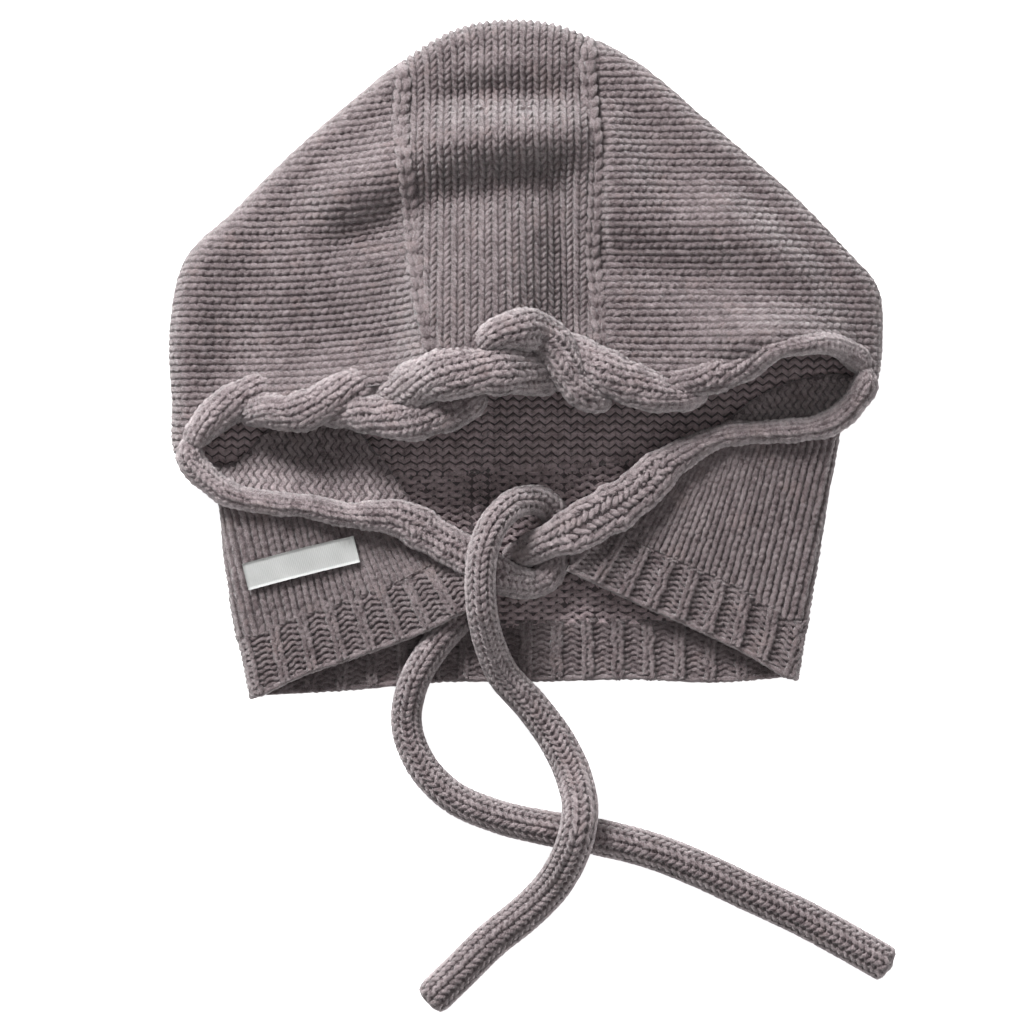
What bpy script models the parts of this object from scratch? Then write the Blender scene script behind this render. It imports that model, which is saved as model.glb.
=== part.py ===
"""A child's knitted balaclava, lying on its back with its ties loosely knotted.

The hood is a crown strip between two side panels, folded flat: each panel starts at the front,
goes round the edge fold and comes back along the surface that the balaclava lies on. A short
cape with a ribbed hem hangs below it, open at the front. A rolled casing runs round the face,
twisted like a rope, and its two ends are knotted under the chin and go on as knitted ties.

X is to the wearer's left as they lie, Y towards the crown, Z up. Tables are in millimetres.
"""

import bpy
import numpy as np

MM = 0.001
ORIGIN = np.array([0.0, 1.1, 0.0])  # middle of the balaclava's box, on the surface it lies on

# Cloth
WALL = 2.6  # thickness of the knitted cloth
GAP = 0.3  # clearance between neighbouring pieces

# Hood
HOOD_FOLD_REACH = 6.0  # how far the edge fold bulges past the front and back layers
HOOD_EDGE_HEIGHT = 15.5  # middle of the front layer where it starts to fold
HOOD_RISE = 9.5  # how much higher the front layer stands inside
HOOD_RISE_RUN = 24.0  # distance from the fold over which it rises
SEAM_RADIUS = 2.3
SEAM_LIFT = 0.9  # of the chain's middle above the cloth's
SEAM_END = 0.98  # share of a seam that the chain covers, down to the brim
LEFT_SEAM_TOP = (-44.0, 103.5)  # where the seams cross the edge fold
RIGHT_SEAM_TOP = (23.0, 112.0)
LEFT_CORNER = (-122.5, -29.0)  # where the face opening meets the edge fold
RIGHT_CORNER = (124.0, 0.0)
SIDE_FROM_SEAM = 6.0  # along the edge fold, from a seam to the side panel
CROWN_FROM_SEAM = 3.9  # and to the crown strip
SIDE_SEAM_START = 0.09  # share of the seams above the side panels, in front
SIDE_BACK_START = 0.06  # and behind

# Cape
CAPE_FOLD_REACH = 4.5
CAPE_HEIGHT = 10.4  # middle of the front layer
HEM_DEPTH = 19.0
HEM_CLEARANCE = 0.9  # between the cape's last row and its hem
LEAST_CAPE_SHARE = 0.25  # of the depth at the front tips, where the hem would take it all
RIB_PITCH = 11.3
RIB_DEPTH = 1.0
SAMPLES_PER_RIB = 4

# Casing and ties
ROUNDING = (0.45, 0.85)  # size of a tube's last two sections, as shares of its full one
TIE_RADIUS = 5.0

# Label
LABEL_LENGTH = 39.0
LABEL_WIDTH = 9.5
LABEL_THICKNESS = 0.5
LABEL_CENTRE = (-78.5, -72.0)
LABEL_TURN = 12.5
LABEL_SEAT = 0.35
LABEL_BOW = 0.4  # how far its middle stands off

# Fineness of the meshes
EDGE_POINTS = 240
SIDE_ROWS, SIDE_COLUMNS = 15, 11
CROWN_ROWS, CROWN_COLUMNS = 17, 10
HOOD_FOLD_STEPS, CAPE_FOLD_STEPS = 7, 6
CAPE_ROWS, CAPE_FRONT_COLUMNS, CAPE_BACK_COLUMNS = 7, 12, 18
HEM_ROWS = 3
SEAM_STEPS, SEAM_OVER_FOLD = 22, 6
TUBE_PITCH, TUBE_SIDES = 7.0, 8
TIE_STEPS = 40


def table(columns, *rows):
    """A short table as arrays by column name."""
    return dict(zip(columns.split(), np.array(rows, float).T))


# The hood's edge from the left corner of the face, over the crown, to the right corner.
# fold is the direction in which the cloth bulges there, in degrees from +X.
HOOD_EDGE = table(
    "x y fold",
    (-110.0, -46.0, 235),
    (-121.5, -36.0, 205),
    (-123.6, -14.0, 184),
    (-124.2, 12.0, 175),
    (-119.0, 36.0, 152),
    (-103.0, 51.5, 136),
    (-82.0, 71.5, 132),
    (-57.0, 93.0, 118),
    (-44.0, 103.5, 104),
    (-19.0, 117.0, 98),
    (-5.0, 118.5, 90),
    (8.0, 117.5, 83),
    (23.0, 112.0, 76),
    (37.0, 104.5, 62),
    (65.0, 82.5, 48),
    (95.5, 54.5, 44),
    (112.0, 38.0, 40),
    (123.0, 24.5, 18),
    (124.4, 10.0, 0),
    (122.6, -8.0, -10),
    (119.0, -17.0, -35),
    (109.0, -28.5, -55),
)

# Seams between the crown strip and the side panels, from the top down to the brim
SEAM_LEFT = table(
    "x y", (-44.0, 97.5), (-44.5, 85), (-42.5, 69), (-40.5, 53), (-39, 37), (-36, 17), (-31, -4)
)
SEAM_RIGHT = table(
    "x y", (22, 106), (22.5, 92), (24, 69), (24, 53), (23, 37), (25, 21), (27.5, -2)
)

# The same seams on the back, where the strip narrows to the centre-back seam
BACK_SEAM_LEFT = table(
    "x y", (-43, 98), (-37, 66), (-26, 34), (-13.5, 8), (-11.3, -12), (-11.3, -40)
)
BACK_SEAM_RIGHT = table(
    "x y", (21, 106), (17, 66), (6, 34), (-8.5, 8), (-10.7, -12), (-10.7, -40)
)
CROWN_TIP_LEFT = (-13.0, 8.0)
CROWN_TIP_RIGHT = (-9.0, 8.0)

# Middle line of the brim, under the roll
BRIM_LEFT = table(
    "x y", (-31, -4), (-44, -8), (-56, -9.5), (-66, -11), (-80, -15), (-97, -13), (-114, -24)
)
BRIM_RIGHT = table(
    "x y", (27.5, -2), (40, -9), (55, -11), (68, -5), (84, 4.5), (98, 7), (114, 4.5)
)
BRIM_CROWN = table("x y", (-31, -4), (-15, -1), (2, 1), (15, 0), (27.5, -2))

# Where the hood's back joins the cape
NAPE_LEFT = table("x y", (-11.3, -40), (-60, -43), (-105.5, -42.5))
NAPE_RIGHT = table("x y", (-10.7, -40), (50, -36), (104.5, -25.5))

# Folds of the hood's front layer: a ridge or hollow at x, y, along turn degrees from +X
HOOD_FOLDS = table(
    "x y turn length width lift",
    (-8, 103, 0, 30, 8, 2.6),  # crest under the top fold
    (-8, 88, 2, 28, 8, -2.6),  # dip below it
    (-12, 73, 8, 36, 8, 4.2),  # roll across the crown
    (-20, 54, 4, 26, 10, -4.2),  # hollow above the brim
    (-60, 64, 22, 24, 10, 2.6),  # shoulder of the left panel
    (-90, 43, 20, 24, 11, -2.4),  # dip behind it
    (-84, 16, -8, 34, 12, 1.8),  # left cheek
    (8, 34, -62, 30, 7, 2.4),  # slanting fold beside the right seam
    (60, 58, -38, 34, 13, -1.6),  # flat of the right panel
    (78, 30, -24, 30, 13, 2.2),  # right cheek
    (98, 11, -8, 24, 8, 3.0),  # lift over the right corner
)

# The cape's outline where it folds, and its edges at the front and back
CAPE_FOLD_LEFT = table("x y fold", (-108.5, -48.5, 188), (-104, -80, 188), (-93.5, -117.5, 200))
CAPE_FOLD_RIGHT = table("x y fold", (108, -33, -8), (102, -68, -8), (95.5, -111.5, -14))
FRONT_TOP_LEFT = table(
    "x y", (-17, -75), (-30, -65.5), (-44, -55), (-62, -48), (-84, -46.5), (-104, -47.5)
)
FRONT_HEM_LEFT = table(
    "x y", (-14.5, -84.5), (-37, -96), (-60, -104.5), (-80, -111.5), (-90, -116.5)
)
FRONT_TOP_RIGHT = table(
    "x y", (17, -66), (33, -55), (47, -40), (62, -29.5), (82, -25), (103.5, -29)
)
FRONT_HEM_RIGHT = table(
    "x y", (14.5, -73.5), (36, -84), (62, -95.5), (80, -104), (91.5, -110.5)
)
BACK_TOP = table("x y", (-104, -47.5), (-60, -43.8), (-11, -40.8), (50, -36.8), (103.5, -31))
BACK_HEM = table(
    "x y", (-90, -117), (-61, -114), (-30, -112), (0, -114.5), (40, -112), (91.5, -112)
)

# Where the cape's front stands higher, over the knotted ties
CAPE_RISES = table(
    "x y reach lift", (-20, -86, 20, 7.5), (15, -70, 16, 4.6), (-52, -84, 16, 0.9), (60, -62, 18, 1.0)
)

# The casing. half_width and half_depth are its section's, tilt raises its outer side in degrees.
# Ends of the casing, heights z above the surface that it lies on
LEFT_BAND = table(
    "x y z half_width half_depth tilt",
    (10.5, -67.0, 8.8, 5.0, 4.4, 0),
    (9.0, -74.0, 9.0, 5.2, 4.4, 0),
    (3.5, -78.8, 10.0, 5.6, 4.3, 0),
    (-2.5, -78.4, 13.8, 6.0, 4.0, 0),
    (-8.0, -76.2, 17.4, 6.2, 3.6, 0),
    (-15.0, -72.2, 18.4, 6.6, 3.6, 0),
    (-25.0, -66.5, 17.8, 6.8, 3.8, 0),
    (-36.0, -60.0, 17.0, 7.3, 4.0, 0),
    (-45.0, -56.0, 16.8, 6.8, 4.2, 0),
    (-54.0, -54.8, 16.8, 5.2, 4.2, 0),
    (-65.0, -54.6, 16.4, 4.5, 4.2, 0),
    (-78.0, -51.2, 16.0, 4.2, 4.2, 0),
    (-90.0, -50.6, 15.5, 4.2, 4.2, 0),
    (-101.0, -48.4, 15.0, 4.4, 4.2, 0),
    (-111.0, -42.5, 14.8, 4.8, 4.5, 0),
    (-117.3, -35.5, 15.0, 5.0, 5.0, 0),
    (-117.5, -27.5, 16.0, 5.0, 5.0, 0),
)
RIGHT_BAND = table(
    "x y z half_width half_depth tilt",
    (118.5, -3.0, 16.0, 4.6, 5.0, 0),
    (118.5, -9.0, 15.2, 4.8, 4.8, 0),
    (114.0, -16.5, 14.8, 4.8, 4.6, 0),
    (106.0, -22.5, 14.8, 4.6, 4.4, 0),
    (96.0, -25.2, 15.2, 4.3, 4.2, 0),
    (85.0, -25.4, 15.6, 4.2, 4.2, 0),
    (74.0, -26.2, 16.0, 4.3, 4.2, 0),
    (65.0, -28.4, 16.6, 4.4, 4.2, 0),
    (57.0, -32.0, 17.2, 5.0, 4.2, 0),
    (49.0, -37.5, 17.6, 6.8, 4.0, 0),
    (40.5, -45.0, 17.8, 8.0, 3.7, 0),
    (30.0, -52.8, 17.8, 8.6, 3.5, 0),
    (19.0, -58.6, 18.2, 8.6, 3.4, 0),
    (9.0, -63.4, 17.4, 6.6, 3.4, 0),
    (1.0, -67.4, 12.6, 5.4, 3.8, 0),
    (-7.0, -71.6, 8.6, 4.8, 4.2, 0),
)
# Cloth folded out beside the lower casing
LEFT_LAPEL = table(
    "x y z half_width half_depth tilt",
    (-38.0, -54.0, 14.5, 4.5, 2.4, 6),
    (-48.0, -48.5, 14.0, 8.0, 2.4, 10),
    (-60.0, -42.5, 13.2, 11.5, 2.4, 14),
    (-75.0, -38.0, 12.2, 12.5, 2.4, 16),
    (-92.0, -36.5, 11.6, 11.0, 2.4, 16),
    (-107.0, -35.5, 11.8, 8.5, 2.4, 10),
)
RIGHT_LAPEL = table(
    "x y z half_width half_depth tilt",
    (112.0, -11.0, 12.2, 7.5, 2.4, 8),
    (101.0, -14.0, 12.0, 10.5, 2.4, 14),
    (88.0, -16.5, 12.4, 9.5, 2.4, 15),
    (76.0, -20.5, 13.4, 7.0, 2.4, 12),
    (64.0, -26.0, 14.4, 4.5, 2.4, 8),
)
# Turns of the roll along the brim: lift is above the hood's front layer
BRIM_TURNS = (
    table(
        "x y lift half_width half_depth tilt",
        (-118.0, -31.5, -0.5, 4.6, 5.0, 0),
        (-112.5, -23.5, 1.2, 6.0, 5.4, 0),
        (-104.5, -16.8, 2.2, 6.6, 5.4, 0),
        (-95.5, -12.2, 1.0, 6.6, 4.8, 0),
        (-86.0, -9.5, -2.6, 5.8, 3.8, 0),
    ),
    table(
        "x y lift half_width half_depth tilt",
        (-101.0, -19.5, -2.6, 4.8, 4.0, 0),
        (-92.0, -18.4, 1.4, 6.0, 5.4, 0),
        (-81.0, -18.8, 2.6, 7.0, 6.0, 0),
        (-70.0, -15.6, 2.8, 7.6, 6.0, 0),
        (-59.0, -10.0, 1.4, 7.4, 5.4, 0),
        (-50.0, -5.5, -2.2, 6.4, 4.0, 0),
    ),
    table(
        "x y lift half_width half_depth tilt",
        (-73.0, -20.5, -1.6, 4.8, 4.4, 0),
        (-63.0, -18.6, 0.8, 5.8, 5.0, 0),
        (-52.0, -20.2, 1.4, 7.4, 5.4, 0),
        (-41.0, -20.8, 1.4, 8.0, 5.4, 0),
        (-31.0, -19.6, 0.4, 7.6, 5.4, 0),
        (-22.0, -17.0, -1.2, 6.4, 5.0, 0),
        (-14.0, -12.0, -3.0, 5.0, 4.0, 0),
    ),
    table(
        "x y lift half_width half_depth tilt",
        (-53.0, -14.0, -2.0, 5.8, 4.4, 0),
        (-42.0, -11.0, 1.8, 8.0, 6.0, 0),
        (-30.0, -6.2, 3.8, 9.0, 6.4, 0),
        (-17.0, -4.8, 4.4, 9.0, 6.4, 0),
        (-5.0, -4.8, 3.4, 8.6, 6.0, 0),
        (5.0, -5.8, 1.2, 7.4, 5.4, 0),
        (13.0, -8.0, -2.2, 6.0, 4.2, 0),
    ),
    table(
        "x y lift half_width half_depth tilt",
        (-18.0, 1.5, -1.0, 3.6, 3.6, 0),
        (-12.0, 7.6, 2.6, 4.8, 5.0, 0),
        (-4.5, 10.8, 4.4, 5.6, 5.6, 0),
        (3.5, 10.2, 5.6, 6.0, 6.0, 0),
        (9.6, 5.0, 6.4, 6.0, 6.0, 0),
        (13.2, -2.0, 6.2, 5.6, 6.0, 0),
        (17.4, -9.6, 4.8, 5.4, 5.6, 0),
        (23.0, -14.4, 2.2, 5.0, 5.0, 0),
        (30.0, -15.6, -1.2, 4.2, 4.2, 0),
    ),
    table(
        "x y lift half_width half_depth tilt",
        (5.0, 5.0, -2.0, 4.6, 4.4, 0),
        (14.0, 2.6, 2.0, 6.4, 5.4, 0),
        (24.0, -2.4, 3.2, 7.6, 6.0, 0),
        (35.0, -8.4, 3.0, 8.2, 6.0, 0),
        (46.0, -12.4, 2.0, 6.8, 5.4, 0),
        (56.0, -13.6, 0.4, 4.8, 4.8, 0),
        (63.0, -12.6, -2.2, 4.2, 4.0, 0),
    ),
    table(
        "x y lift half_width half_depth tilt",
        (43.0, -7.6, -2.4, 4.6, 4.2, 0),
        (55.0, -8.4, 1.0, 5.8, 5.2, 0),
        (67.0, -5.6, 2.2, 6.2, 5.4, 0),
        (77.0, -2.4, 2.2, 5.8, 5.2, 0),
        (86.0, 3.0, 1.8, 4.2, 4.6, 0),
        (98.0, 4.8, 1.4, 3.9, 4.4, 0),
        (109.0, 4.2, 0.6, 4.2, 4.6, 0),
        (116.5, -0.5, -0.4, 4.6, 4.8, 0),
        (118.8, -6.5, -1.2, 4.6, 4.8, 0),
    ),
)

# Ties, from the casing's ends to their own free ends
TIE_LEFT = table(
    "x y z",
    (10.9, -66.4, 8.6),
    (11.4, -60.5, 8.4),
    (10.2, -54.6, 9.0),
    (5.4, -50.0, 12.4),
    (-2.8, -50.2, 18.6),
    (-10.4, -56.6, 25.0),
    (-14.6, -66.0, 27.4),
    (-16.0, -77.0, 27.2),
    (-15.4, -88.0, 25.0),
    (-13.0, -99.0, 18.4),
    (-8.4, -110.0, 11.4),
    (-0.6, -122.6, 6.6),
    (8.6, -135.0, 5.8),
    (15.4, -148.0, 9.4),
    (17.8, -157.0, 14.6),
    (17.8, -165.0, 16.6),
    (15.6, -175.0, 13.6),
    (9.8, -186.5, 7.4),
    (0.6, -196.0, 5.6),
    (-11.0, -205.5, 5.4),
    (-21.5, -216.0, 5.3),
    (-31.0, -225.0, 5.3),
)
TIE_RIGHT = table(
    "x y z",
    (-8.6, -72.6, 8.3),
    (-12.6, -75.6, 8.1),
    (-17.0, -81.6, 8.1),
    (-22.8, -90.0, 8.4),
    (-32.6, -101.6, 9.6),
    (-39.6, -114.0, 9.2),
    (-41.8, -128.0, 5.9),
    (-37.0, -141.6, 5.3),
    (-26.5, -153.0, 5.3),
    (-9.5, -160.6, 5.3),
    (8.0, -164.6, 5.3),
    (26.0, -168.0, 5.3),
    (43.5, -172.0, 5.3),
    (61.0, -178.0, 5.3),
    (78.5, -186.0, 5.3),
    (96.0, -194.6, 5.3),
    (113.5, -204.0, 5.3),
    (124.0, -211.0, 5.3),
)


# Curves and surfaces ---------------------------------------------------------------------------


def along(rows, fractions, *columns):
    """Columns of a table at fractions of its length, on a smooth curve through its rows."""
    names = list(rows)
    values = np.stack([rows[name] for name in names], axis=1)
    steps = np.linalg.norm(np.diff(values[:, :2], axis=0), axis=1)
    knots = np.concatenate([[0.0], np.cumsum(steps)]) / steps.sum()
    slopes = np.gradient(values, knots, axis=0)
    at = np.atleast_1d(np.asarray(fractions, float))
    k = np.clip(np.searchsorted(knots, at, side="right") - 1, 0, len(knots) - 2)
    span = (knots[k + 1] - knots[k])[:, None]
    u = (at - knots[k])[:, None] / span
    smooth = (
        (2 * u**3 - 3 * u**2 + 1) * values[k]
        + (u**3 - 2 * u**2 + u) * span * slopes[k]
        + (3 * u**2 - 2 * u**3) * values[k + 1]
        + (u**3 - u**2) * span * slopes[k + 1]
    )
    return smooth[:, [names.index(name) for name in columns]]


def fraction_nearest(rows, place):
    """The fraction of a table's curve that passes nearest to a point."""
    tries = np.linspace(0, 1, 801)
    points = along(rows, tries, "x", "y")
    return tries[np.argmin(np.hypot(points[:, 0] - place[0], points[:, 1] - place[1]))]


HOOD_EDGE_LINE = along(HOOD_EDGE, np.linspace(0, 1, EDGE_POINTS), "x", "y")
HOOD_EDGE_LENGTH = np.linalg.norm(np.diff(HOOD_EDGE_LINE, axis=0), axis=1).sum()


def hood_height(x, y):
    """Middle of the hood's front layer: it rises inwards from the edge fold, with its folds."""
    x, y = np.broadcast_arrays(np.asarray(x, float), np.asarray(y, float))
    apart = np.hypot(x[..., None] - HOOD_EDGE_LINE[:, 0], y[..., None] - HOOD_EDGE_LINE[:, 1])
    inside = np.maximum(apart.min(axis=-1) - HOOD_FOLD_REACH, 0)
    rise = 1 - np.exp(-((inside / HOOD_RISE_RUN) ** 2))
    height = HOOD_EDGE_HEIGHT + HOOD_RISE * rise
    for fx, fy, turn, length, width, lift in zip(*HOOD_FOLDS.values()):
        across, run = turned(x - fx, y - fy, turn)
        height = height + lift * rise * np.exp(-((across / width) ** 2) - (run / length) ** 4)
    return height


def turned(x, y, degrees):
    """Distances across and along a direction."""
    angle = np.radians(degrees)
    return y * np.cos(angle) - x * np.sin(angle), x * np.cos(angle) + y * np.sin(angle)


def cape_height(x, y):
    """Middle of the cape's front layer."""
    height = np.full(np.shape(x), CAPE_HEIGHT)
    for rx, ry, reach, lift in zip(*CAPE_RISES.values()):
        height = height + lift * np.exp(-((x - rx) ** 2 + (y - ry) ** 2) / reach**2)
    return height


def patch(left, right, top, bottom):
    """Plan points of a patch between four edges, as rows from top to bottom."""
    t = np.linspace(0, 1, len(left))[:, None, None]
    s = np.linspace(0, 1, len(top))[None, :, None]
    sides = (1 - s) * left[:, None] + s * right[:, None]
    ends = (1 - t) * top[None] + t * bottom[None]
    corners = (1 - t) * ((1 - s) * left[0] + s * right[0]) + t * ((1 - s) * left[-1] + s * right[-1])
    return sides + ends - corners


def raised(plan, height):
    return np.concatenate([plan, height[..., None]], axis=-1)


def fold_arc(edge, front_at, back_at, reach, height, count):
    """Points round an edge fold, from the front layer to the back one, one row for each fraction."""
    turns = np.linspace(0, np.pi, count)
    rows = []
    for front, back in zip(front_at, back_at):
        at = front + (back - front) * turns / np.pi
        x, y, fold = along(edge, at, "x", "y", "fold").T
        out = reach * (np.sin(turns) - 1)
        low, high = WALL / 2, height
        z = (high + low) / 2 + (high - low) / 2 * np.cos(turns)
        rows.append(np.stack([x + out * cosine(fold), y + out * sine(fold), z], axis=-1))
    return np.array(rows)


def cosine(degrees):
    return np.cos(np.radians(degrees))


def sine(degrees):
    return np.sin(np.radians(degrees))


def shifted(points, dx):
    return points + np.array([dx, 0.0])


def meeting(points, first, last, power=1):
    """A line of points whose ends are moved to two places, and what lies between eased after them.

    A place that is None leaves its end as it is; a higher power keeps the change near the end.
    """
    share = np.linspace(0, 1, len(points))[:, None]
    moved = points.copy()
    if first is not None:
        moved += (first - points[0]) * (1 - share) ** power
    if last is not None:
        moved += (last - points[-1]) * share**power
    return moved


# Blender objects -------------------------------------------------------------------------------


def knit(name, colour, roughness=0.9):
    material = bpy.data.materials.new(name)
    material.use_nodes = True
    shader = material.node_tree.nodes["Principled BSDF"]
    shader.inputs["Base Color"].default_value = (*colour, 1)
    shader.inputs["Roughness"].default_value = roughness
    shader.inputs["Metallic"].default_value = 0
    return material


def new_object(name, points, faces, material):
    mesh = bpy.data.meshes.new(name)
    mesh.from_pydata(((np.asarray(points) - ORIGIN) * MM).tolist(), [], faces)
    mesh.validate()
    mesh.shade_smooth()
    mesh.set_sharp_from_angle(angle=np.radians(60))
    mesh.materials.append(material)
    piece = bpy.data.objects.new(name, mesh)
    bpy.context.scene.collection.objects.link(piece)
    return piece


def sheet(name, grid, material):
    """A wall of knitted cloth on a grid of points of its middle surface."""
    rows, columns = grid.shape[:2]
    index = np.arange(rows * columns).reshape(rows, columns)
    faces = np.stack([index[:-1, :-1], index[1:, :-1], index[1:, 1:], index[:-1, 1:]], axis=-1)
    piece = new_object(name, grid.reshape(-1, 3), faces.reshape(-1, 4).tolist(), material)
    wall = piece.modifiers.new("wall", "SOLIDIFY")
    wall.thickness = WALL * MM
    wall.offset = 0
    return piece


def tube(name, rows, material, extra=0.0, round_start=True, round_end=True):
    """A closed tube of oval section, whose middle, half sizes and tilt are read along a table."""
    length = np.hypot(np.diff(rows["x"]), np.diff(rows["y"])).sum()
    count = max(6, int(round(length / TUBE_PITCH)) + 1)
    at = np.linspace(0, 1, count)
    x, y, half_width, half_depth, tilt = along(rows, at, "x", "y", "half_width", "half_depth", "tilt").T
    if "lift" in rows:
        z = hood_height(x, y) + along(rows, at, "lift")[:, 0]
    else:
        z = along(rows, at, "z")[:, 0]
    ends = np.ones(count)
    if round_start:
        ends[:2] = ROUNDING
    if round_end:
        ends[-2:] = ROUNDING[::-1]
    middle = np.stack([x, y, z], axis=1)
    return loft(name, middle, (half_width + extra) * ends, (half_depth + extra) * ends, tilt, material)


def loft(name, middle, half_width, half_depth, tilt, material):
    """A closed tube through oval sections along a line of points."""
    forward = np.gradient(middle, axis=0)
    forward /= np.linalg.norm(forward, axis=1)[:, None]
    side = np.cross([0, 0, 1.0], forward)
    for i in range(1, len(side)):
        if np.linalg.norm(side[i]) < 0.5:  # nearly upright: keep the last level direction
            side[i] = side[i - 1] - forward[i] * (side[i - 1] @ forward[i])
        side[i] /= np.linalg.norm(side[i])
    side[0] /= np.linalg.norm(side[0])
    up = np.cross(forward, side)
    turn = 2 * np.pi * np.arange(TUBE_SIDES) / TUBE_SIDES
    wide = half_width[:, None] * np.cos(turn)
    deep = half_depth[:, None] * np.sin(turn)
    lean = np.radians(tilt)[:, None]
    across = wide * np.cos(lean) - deep * np.sin(lean)
    rise = wide * np.sin(lean) + deep * np.cos(lean)
    points = middle[:, None] + across[..., None] * side[:, None] + rise[..., None] * up[:, None]
    index = np.arange(len(middle) * TUBE_SIDES).reshape(len(middle), TUBE_SIDES)
    following = np.roll(index, -1, axis=1)
    around = np.stack([index[:-1], following[:-1], following[1:], index[1:]], axis=-1)
    ends = [index[0][::-1].tolist(), index[-1].tolist()]
    return new_object(name, points.reshape(-1, 3), around.reshape(-1, 4).tolist() + ends, material)


def set_aside(piece, collection):
    """Make a piece a guide that Booleans use and the build leaves out."""
    bpy.context.scene.collection.objects.unlink(piece)
    collection.objects.link(piece)
    piece.hide_render = True
    piece.display_type = "WIRE"


def boolean(piece, operation, collection):
    cut = piece.modifiers.new(operation.lower(), "BOOLEAN")
    cut.operation = operation
    cut.operand_type = "COLLECTION"
    cut.collection = collection
    cut.solver = "EXACT"


# Pieces ----------------------------------------------------------------------------------------


def side_panel(name, seams, brim, nape, edge_from, front_to, back_to, sign, material):
    """A side of the hood: front layer from the crown seam, round the edge fold, to the back.

    seams are its seams in front and behind, and the edge fold runs from edge_from to front_to on
    the front layer and to back_to on the back one. sign is -1 on the left and 1 on the right.
    """
    down = np.linspace(0, 1, SIDE_ROWS)
    out = np.linspace(0, 1, SIDE_COLUMNS)
    front_at = edge_from + (front_to - edge_from) * down
    back_at = edge_from + (back_to - edge_from) * down
    arc = fold_arc(HOOD_EDGE, front_at, back_at, HOOD_FOLD_REACH, HOOD_EDGE_HEIGHT, HOOD_FOLD_STEPS)
    inner = along(seams[0], SIDE_SEAM_START + (1 - SIDE_SEAM_START) * down, "x", "y")
    inner = shifted(inner, sign * (SEAM_RADIUS + GAP))
    top = inner[0] + (arc[0, 0, :2] - inner[0]) * out[:, None]
    bottom = meeting(along(brim, out, "x", "y"), inner[-1], arc[-1, 0, :2])
    plan = patch(inner, arc[:, 0, :2], top, bottom)
    front = raised(plan, hood_height(plan[..., 0], plan[..., 1]))

    behind = along(seams[1], SIDE_BACK_START + (1 - SIDE_BACK_START) * down, "x", "y")
    behind = shifted(behind, sign * GAP)
    top = arc[0, -1, :2] + (behind[0] - arc[0, -1, :2]) * out[:, None]
    bottom = meeting(along(nape, 1 - out, "x", "y"), arc[-1, -1, :2], behind[-1])
    plan = patch(arc[:, -1, :2], behind, top, bottom)
    back = raised(plan, np.full(plan.shape[:2], WALL / 2))
    grid = np.concatenate([front[:, :-1], arc, back[:, 1:]], axis=1)
    return sheet(name, grid if sign < 0 else grid[:, ::-1], material)


def crown_panel(material, left_at, right_at):
    """The strip from the brim over the top fold and down the back to its narrow end."""
    down = np.linspace(0, 1, CROWN_ROWS)
    across = np.linspace(0, 1, CROWN_COLUMNS)
    edge_at = left_at + (right_at - left_at) * across
    arc = fold_arc(HOOD_EDGE, edge_at, edge_at, HOOD_FOLD_REACH, HOOD_EDGE_HEIGHT, HOOD_FOLD_STEPS)
    clear = SEAM_RADIUS + GAP
    fold = arc[:, 0, :2]
    left = meeting(shifted(along(SEAM_LEFT, down, "x", "y"), clear), fold[0], None, 3)
    right = meeting(shifted(along(SEAM_RIGHT, down, "x", "y"), -clear), fold[-1], None, 3)
    bottom = meeting(along(BRIM_CROWN, across, "x", "y"), left[-1], right[-1])
    plan = patch(left, right, fold, bottom)
    front = raised(plan, hood_height(plan[..., 0], plan[..., 1]))

    left_end = fraction_nearest(BACK_SEAM_LEFT, CROWN_TIP_LEFT)
    right_end = fraction_nearest(BACK_SEAM_RIGHT, CROWN_TIP_RIGHT)
    fold = arc[:, -1, :2]
    left = shifted(along(BACK_SEAM_LEFT, left_end * down, "x", "y"), GAP)
    right = shifted(along(BACK_SEAM_RIGHT, right_end * down, "x", "y"), -GAP)
    left = meeting(left, fold[0], None, 3)
    right = meeting(right, fold[-1], None, 3)
    tip = left[-1] + (right[-1] - left[-1]) * across[:, None]
    plan = patch(left, right, fold, tip)
    back = raised(plan, np.full(plan.shape[:2], WALL / 2))
    grid = np.concatenate([front[::-1][:-1], arc.transpose(1, 0, 2), back[1:]], axis=0)
    return sheet("crown_panel", grid, material)


def seam_cord(name, seam, edge_at, material):
    """The raised chain of a crown seam, up the front and over the top fold."""
    arc = fold_arc(HOOD_EDGE, [edge_at], [edge_at], HOOD_FOLD_REACH, HOOD_EDGE_HEIGHT, 9)[0]
    front = along(seam, np.linspace(SEAM_END, 0, SEAM_STEPS), "x", "y")
    front = meeting(front, None, arc[0, :2], 6)
    front = raised(front, hood_height(front[:, 0], front[:, 1]) + SEAM_LIFT)
    route = np.concatenate([front, arc[1:SEAM_OVER_FOLD]])
    size = np.full(len(route), SEAM_RADIUS)
    return loft(name, route, size, size, 0 * size, material)


def curve_tube(name, points, radius, resolution, material):
    """A round tube along points: a curve with a bevel and filled ends."""
    curve = bpy.data.curves.new(name, "CURVE")
    curve.dimensions = "3D"
    curve.bevel_depth = radius * MM
    curve.bevel_resolution = resolution
    curve.use_fill_caps = True
    line = curve.splines.new("POLY")
    line.points.add(len(points) - 1)
    for point, place in zip(line.points, points):
        point.co = (*((place - ORIGIN) * MM), 1)
    curve.materials.append(material)
    piece = bpy.data.objects.new(name, curve)
    bpy.context.scene.collection.objects.link(piece)
    return piece


def hem_starts(upper, lower):
    """How far down the cape its hem starts, as a share of the depth at each place."""
    depth = np.linalg.norm(upper - lower, axis=1)
    return np.maximum(1 - HEM_DEPTH / depth, LEAST_CAPE_SHARE)


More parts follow.
